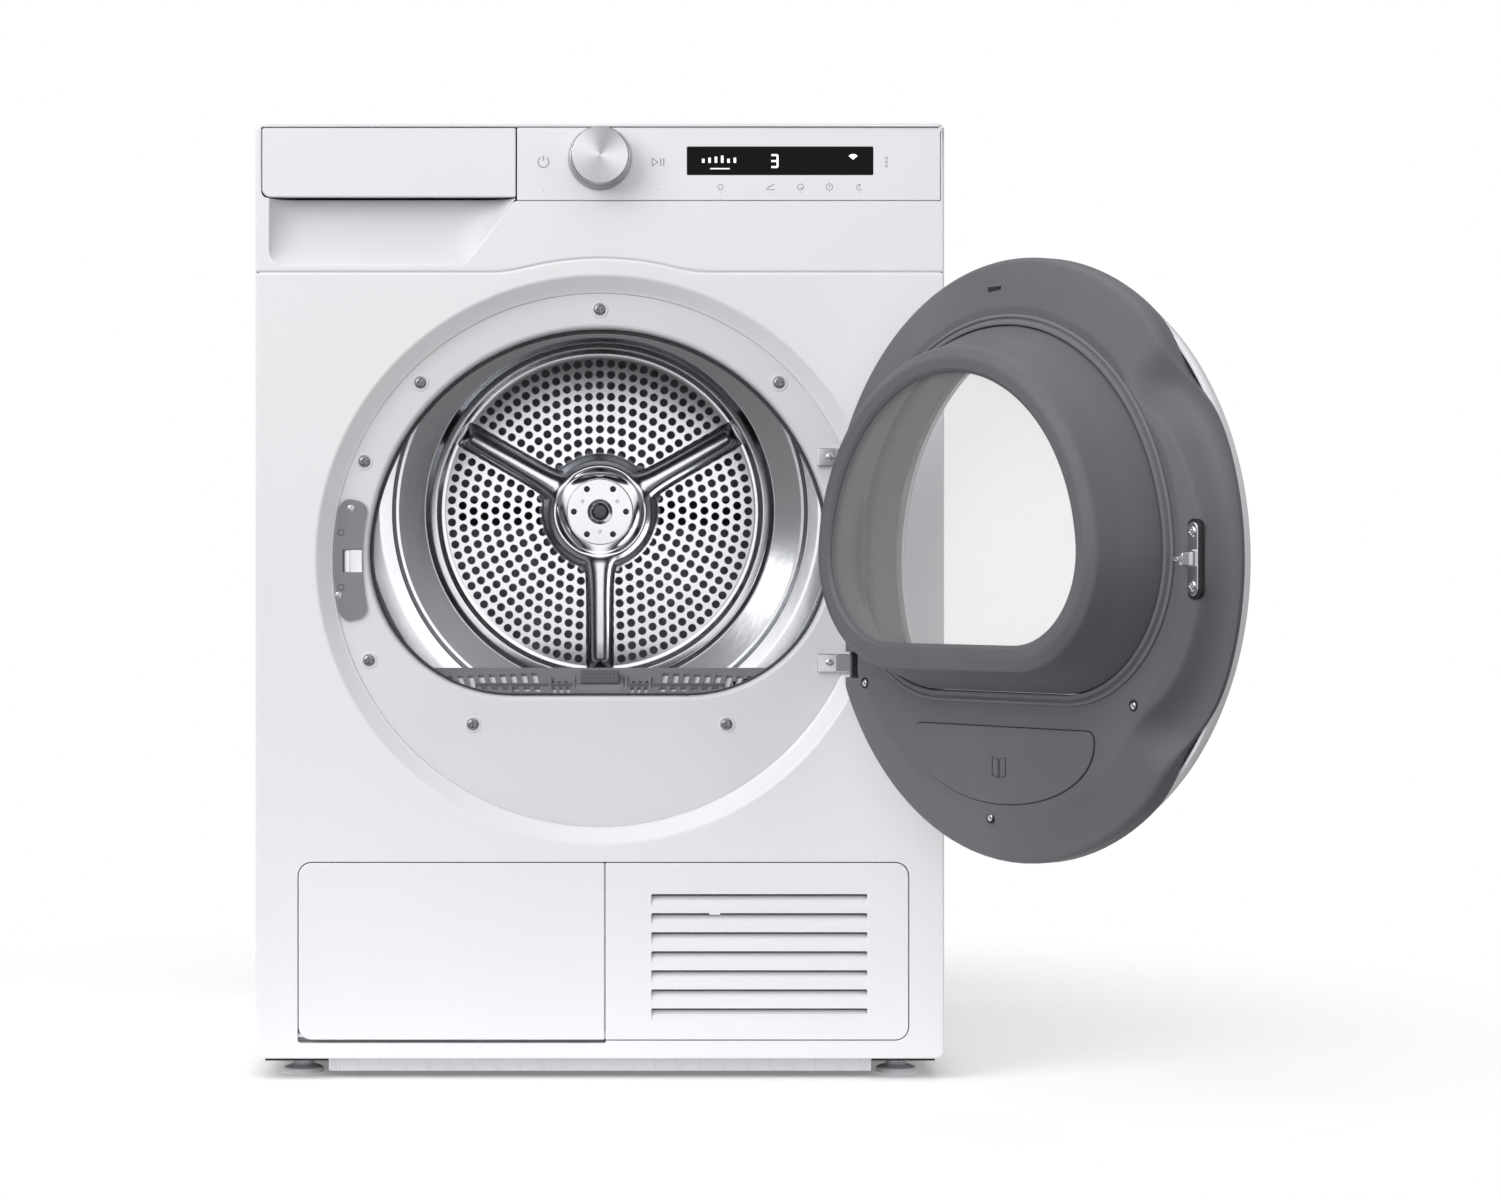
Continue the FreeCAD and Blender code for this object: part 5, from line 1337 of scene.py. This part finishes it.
book = [ribbon(np.array([(-8, -8), (-8, 7), (-1, 5), (-1, -10), (-8, -8)]) + (door_x + 2,
                                                                              door_z - 165), 0.9,
               lid_hi[1] + 0.25, lid_hi[1] - 0.2),
        ribbon(np.array([(8, -8), (8, 7), (1, 5), (1, -10), (8, -8)]) + (door_x + 2, door_z - 165), 0.9,
               lid_hi[1] + 0.25, lid_hi[1] - 0.2)]
keyhole = ribbon([(door_x + 7, door_z + 220), (door_x + 22, door_z + 220)], 4.0,
                 hinge_y + face_w(220) + 0.15,
                 hinge_y + face_w(220) - 0.6)
add_piece("lid_lines", swing(gather(groove, keyhole, *book)), "door", soot)


# ------------------------------------------------------------ hinges
# Two steel arms screwed to the recess floor, each with an eye; the door's forked leaves carry
# the pins. Polished steel, with a round-head screw on each arm.
zinc = Metal("zinc plate", tone(196, 199, 204), 0.3, 0.12)
zinc.relief(zinc.noise(260, 3), 0.00004, 0.4)
finish_node("hinge_brackets", steel, 0.8)
finish_node("hinge_leaves", steel, 0.8)
arm_heads = [screw_head(201, ring_y - 4.1, z, 3.6, 1.4) for z in hinge_zs]
add_piece("hinge_screws", gather(*arm_heads), "cabinet", steel)


# ------------------------------------------------------------ service row
# Two white plates in one rounded row: a flap over the heat exchanger, turning on two moulded
# pivots at its lower edge, and a fixed panel with seven air slots and sloping blades.
row_seam = corners("louvre_panel")[0][0] - 0.4
flap_line = trace([(row_left, row_z0, row_r), (row_seam - 0.4, row_z0, 1.2),
                   (row_seam - 0.4, row_z1, 1.2),
                   (row_left, row_z1, row_r)])
flap = plate(flap_line, face_y, face_y + 3, 0.9)
pivot_y, pivot_z = -294.8, 39.0
ears = []
for x0, x1, pin0, pin1 in ((row_left + 9, row_left + 14, row_left - 5, row_left + 10),
                           (-5.0, 0.0, -1.0, 8.5)):
    ears.append(bar(x0, x1, face_y + 2.5, pivot_y + 3, pivot_z - 3, pivot_z + 5, 1.0))
    pin = turned([(0, pin0), (2, pin0), (2, pin1), (0, pin1)], 0, 0, 24)
    ears.append((pin[0][:, [1, 0, 2]] + (0, pivot_y, pivot_z), pin[1]))
add_piece("row_flap", gather(flap, *ears), "flap", gloss, ["service_flap"])

slot_span = (44.9, 233.0)
slot_first, slot_pitch, slot_count, slot_depth = 62.7, 16.6, 7, 9.6
slot_tops = slot_first + slot_pitch * np.arange(slot_count)
row_part = trace([(row_seam + 0.4, row_z0, 1.2), (row_right, row_z0, row_r), (row_right, row_z1, row_r),
                  (row_seam + 0.4, row_z1, 1.2)])
vents = [box_line(slot_span[0], slot_span[1], z - slot_depth, z, 1.2) for z in slot_tops]
louvres = plate(row_part, face_y, face_y + 3, 0.9, vents)
blade_line = trace([(face_y + 1.2, -10.4, 0.4), (face_y + 0.5, -9.2, 1.0), (face_y + 2.0, -6.0, 8),
                    (face_y + 6.5, -1.6, 0.4),
                    (face_y + 7.6, -2.0, 0.4), (face_y + 3.2, -6.6, 8)])
blades = []
for z in slot_tops:
    ends = [np.column_stack([np.full(len(blade_line), x), blade_line[:, 0], blade_line[:, 1] + z])
            for x in (slot_span[0] - 3, slot_span[1] + 3)]
    cap_faces = flat([blade_line], 0)[1][0]
    blades.append((np.vstack(ends), [weave(2, len(blade_line)), cap_faces, cap_faces + len(blade_line)]))
add_piece("air_louvres", gather(louvres, *blades), "cabinet", gloss, ["louvre_panel"])


# ------------------------------------------------------------ plinth and feet
# A grey strip with stiffening ribs closes the gap over the floor. The levelling feet are
# moulded pads on threaded steel stems, with a hexagon for the spanner.
plinth_lo, plinth_hi = corners("plinth")
strip = plate(box_line(plinth_lo[0], plinth_hi[0], plinth_lo[2], plinth_hi[2], 1.5), plinth_lo[1] + 1,
              plinth_hi[1], 0.5)
ribs = [bar(x - 1.2, x + 1.2, plinth_lo[1], plinth_lo[1] + 2, plinth_lo[2] + 0.6, plinth_hi[2] - 0.2, 0.5)
        for x in np.linspace(plinth_lo[0] + 8, plinth_hi[0] - 8, 24)]
add_piece("plinth_strip", gather(strip, *ribs), "cabinet", satin, ["plinth"])

pad_line = trace([(0, 0.4, 0), (13, 0.4, 1), (14, 0, 0.3), (18, 0, 1.2), (17.6, 4.6, 2), (10, 7.5, 3),
                  (8.2, 10.2, 1.5),
                  (0, 10.2, 0)], closed=False)


def hexagon(z0, z1, flats):
    """A six-sided nut with its corners eased, round an upright axis at the origin."""
    turn = np.radians(60 * np.arange(6))
    line = trace([(flats / math.sqrt(3) * math.cos(a), flats / math.sqrt(3) * math.sin(a), 1.0)
                  for a in turn])
    return upright(plate(line, z1, z0, 0.6))


def stem(radius, z0, z1, pitch):
    """A threaded rod: its radius swings by a cosine along the height, twelve points a turn."""
    z = np.arange(z0, z1, pitch / 5)
    r = radius - 0.35 + 0.35 * np.cos(2 * math.pi * z / pitch)
    line = np.vstack([[(0, z0)], np.column_stack([r, z]), [(0, z1)]])
    return upright(turned(line, 0, 0, 24))


for corner, body in (("front_left", "foot_fl"), ("front_right", "foot_fr"), ("rear_left", "foot_rl"),
                     ("rear_right", "foot_rr")):
    lo, hi = corners("foot_" + corner)
    foot = gather(upright(turned(pad_line, 0, 0, 64)), hexagon(10, 13, 17), stem(4.9, 13, hi[2], 1.8))
    centre = ((lo[0] + hi[0]) / 2, (lo[1] + hi[1]) / 2, 0)
    add_piece("levelling_foot_" + corner, (foot[0] + centre, foot[1]), body, satin,
              ["foot_" + corner])
finish_node("base_tray", soot, 1.0)


# ------------------------------------------------------------ back
# A plated sheet with pressed ribs, air slots low down and screws round its edge; over the air
# channel a round moulded cover with the drain spigot, and the cable gland beside it.
galvanised = Metal("galvanised sheet", tone(172, 176, 182), 0.42, 0.16)
crystals = galvanised.node("ShaderNodeTexVoronoi", {"feature": "F1"},
                           {"Vector": galvanised.place, "Scale": 70.0}, "Color")
shade = galvanised.node("ShaderNodeSeparateColor", None, {0: crystals}, 0)
galvanised.set("Base Color", galvanised.mix(shade, tone(158, 162, 168), tone(186, 190, 196)))
back_lo, back_hi = corners("rear_panel")
gland_lo, gland_hi = corners("mains_gland")
gland_x, gland_z = (gland_lo[0] + gland_hi[0]) / 2, (gland_lo[2] + gland_hi[2]) / 2
back_line = box_line(back_lo[0] + 0.3, back_hi[0] - 0.3, back_lo[2], back_hi[2] - 0.3, 4)
back_vents = [box_line(x - 26, x + 26, z - 2.2, z + 2.2, 2.1) for x in (-210, -140, 140, 210)
              for z in np.arange(74, 186, 14)]
back_sides = [[(back_line, back_hi[1] - 5), (back_line, back_hi[1] - 0.4),
               (inward(back_line, 0.4), back_hi[1])]]
back_sides += [[(line, back_hi[1] - 2), (line, back_hi[1])] for line in back_vents]
back_sides.append([(circle(gland_x, gland_z, 9.2, 32), back_hi[1] - 2),
                   (circle(gland_x, gland_z, 9.2, 32), back_hi[1])])
add_piece("back_sheet", skin(back_sides), "cabinet", galvanised, ["rear_panel"], 0.8,
          (0, 1, 0))


def pressed_rib(x0, x1, z0, z1, height):
    """A long raised rib: a rounded rectangle whose rows climb by a half cosine to a flat top."""
    line = box_line(x0, x1, z0, z1, min(x1 - x0, z1 - z0) / 2 - 0.05)
    t = np.linspace(0, math.pi / 2, 6)
    rows = [(inward(line, 5 * math.sin(a)), back_hi[1] - 0.4 + height * (1 - math.cos(a)) ** 0.9)
            for a in t]
    return skin([rows])


back_ribs = [pressed_rib(-285, -272, 240, 640, 2.4), pressed_rib(272, 285, 240, 640, 2.4),
             pressed_rib(-150, 150, 762, 776, 2.4), pressed_rib(-180, 180, 222, 236, 2.4)]
add_piece("back_ribs", gather(*back_ribs), "cabinet", galvanised)
edge_spots = [(x, z) for x in (-288, 288) for z in (60, 215, 400, 585, 770)] + [(x, 30)
                                                                                for x in (-180, 0, 180)]
edge_spots += [(x, 792) for x in (-240, -80, 80, 240)]
add_piece("back_screws", gather(*[screw_head(x, back_hi[1], z, 4.5, 2.0, 1) for x, z in edge_spots]),
          "cabinet", zinc)

duct_depth = 13.0
duct_profile = trace([
    (0, duct_depth - 3.5, 0), (46, duct_depth - 3.5, 6), (54, duct_depth, 6), (196, duct_depth, 8),
    (206, 2.4, 4),
    (224, 1.8, 1), (225, 0.2, 0.3), (0, 0.2, 0),
], closed=False)
dome = turned(np.column_stack([duct_profile[:, 0], back_hi[1] + duct_profile[:, 1]]), 0, drum_z, 160)
duct_ribs = []
duct_rib_span = (70, 186)
for turn in np.radians(np.arange(0, 360, 30)):
    long_rib = bar(*duct_rib_span, back_hi[1] + duct_depth - 0.5, back_hi[1] + duct_depth + 1.6, -2.5,
                   2.5, 1.8)
    p = long_rib[0]
    c, s = math.cos(turn), math.sin(turn)
    duct_ribs.append((np.column_stack([c * p[:, 0] - s * p[:, 2], p[:, 1],
                                       drum_z + s * p[:, 0] + c * p[:, 2]]), long_rib[1]))
drain_z, drain_x = 740.0, -225.0
tail = plate(trace([(-240, drain_z - 12, 6), (-178, drain_z - 12, 6), (-146, 676, 4), (-118, 676, 4),
                    (-146, drain_z + 6, 6),
                    (-160, drain_z + 12, 6), (-240, drain_z + 12, 6)]), back_hi[1] + 3, back_hi[1], 0.8)
spigot = turned(trace([(0, 3, 0), (4.5, 3, 0), (4.5, 21.4, 0.4), (6, 22, 0.3), (7.6, 22, 0.5),
                       (9, 19, 1), (7.6, 17.6, 0.6),
                       (7.6, 6, 1), (9, 3.4, 1), (9, 0.2, 0), (0, 0.2, 0)], closed=False) + (0,
                           back_hi[1]), drain_x, drain_z, 40)
cover_screws = [screw_head(214 * math.cos(a), back_hi[1] + 1.6, drum_z + 214 * math.sin(a), 4.5, 2.0, 1)
                for a in np.radians(np.arange(15, 375, 45))]
add_piece("air_channel_cover", gather(dome, *duct_ribs, tail, spigot), "cabinet", grey,
          ["rear_duct_cover"])
add_piece("cover_screws", gather(*cover_screws), "cabinet", zinc)
finish_node("mains_gland", soot, 1.2)


# ------------------------------------------------------------ inside the cabinet
# Bulkhead, felt seal, rollers, belt, motor and fan, and the heat pump with its cover. They
# are seen through the openings and when the flap or the tank is out.
felt = Finish("wool felt", tone(118, 116, 112), 0.95)
felt.set("Base Color", felt.mix(felt.noise(900, 4), tone(102, 100, 96), tone(134, 132, 128)))
felt.relief(felt.noise(1500, 4), 0.0004, 0.8)
belting = Finish("ribbed belt", tone(32, 32, 34), 0.7)
belting.set("Base Color", belting.mix(belting.noise(60, 3), tone(26, 26, 28), tone(40, 40, 42)))
belting.relief(belting.maths("SINE", belting.parts()[1] * 3100.0), 0.0004, 0.7)
cast = Finish("painted cast metal", tone(58, 60, 64), 0.5, Metallic=0.3)
cast.set("Base Color", cast.mix(cast.noise(40, 4), tone(50, 52, 56), tone(68, 70, 74)))
cast.relief(cast.noise(300, 4), 0.0002, 0.6)
fins = Metal("fin stock", tone(190, 194, 198), 0.35, 0.15)
fins.relief(fins.maths("SINE", fins.parts()[0] * 3000.0), 0.0003, 0.5)
inside = {
    "front_bulkhead": (grey, 0.8), "drum_felt": (felt, 0.4), "rear_bearing": (cast, 0.8),
    "support_roller_left": (soot, 1.0), "support_roller_right": (soot, 1.0), "drive_belt": (belting, 0.3),
    "motor": (cast, 1.5), "motor_rotor": (steel, 0.5), "fan_impeller": (soot, 0.3),
    "fan_housing": (soot, 0.8),
    "evaporator": (fins, 0), "condenser": (fins, 0), "compressor": (cast, 1.0),
    "heat_exchanger_cover": (grey, 1.0),
    "lock_lever_left": (slate, 1.2), "lock_lever_right": (slate, 1.2),
}
for name, (finish, edge) in inside.items():
    finish_node(name, finish, edge)
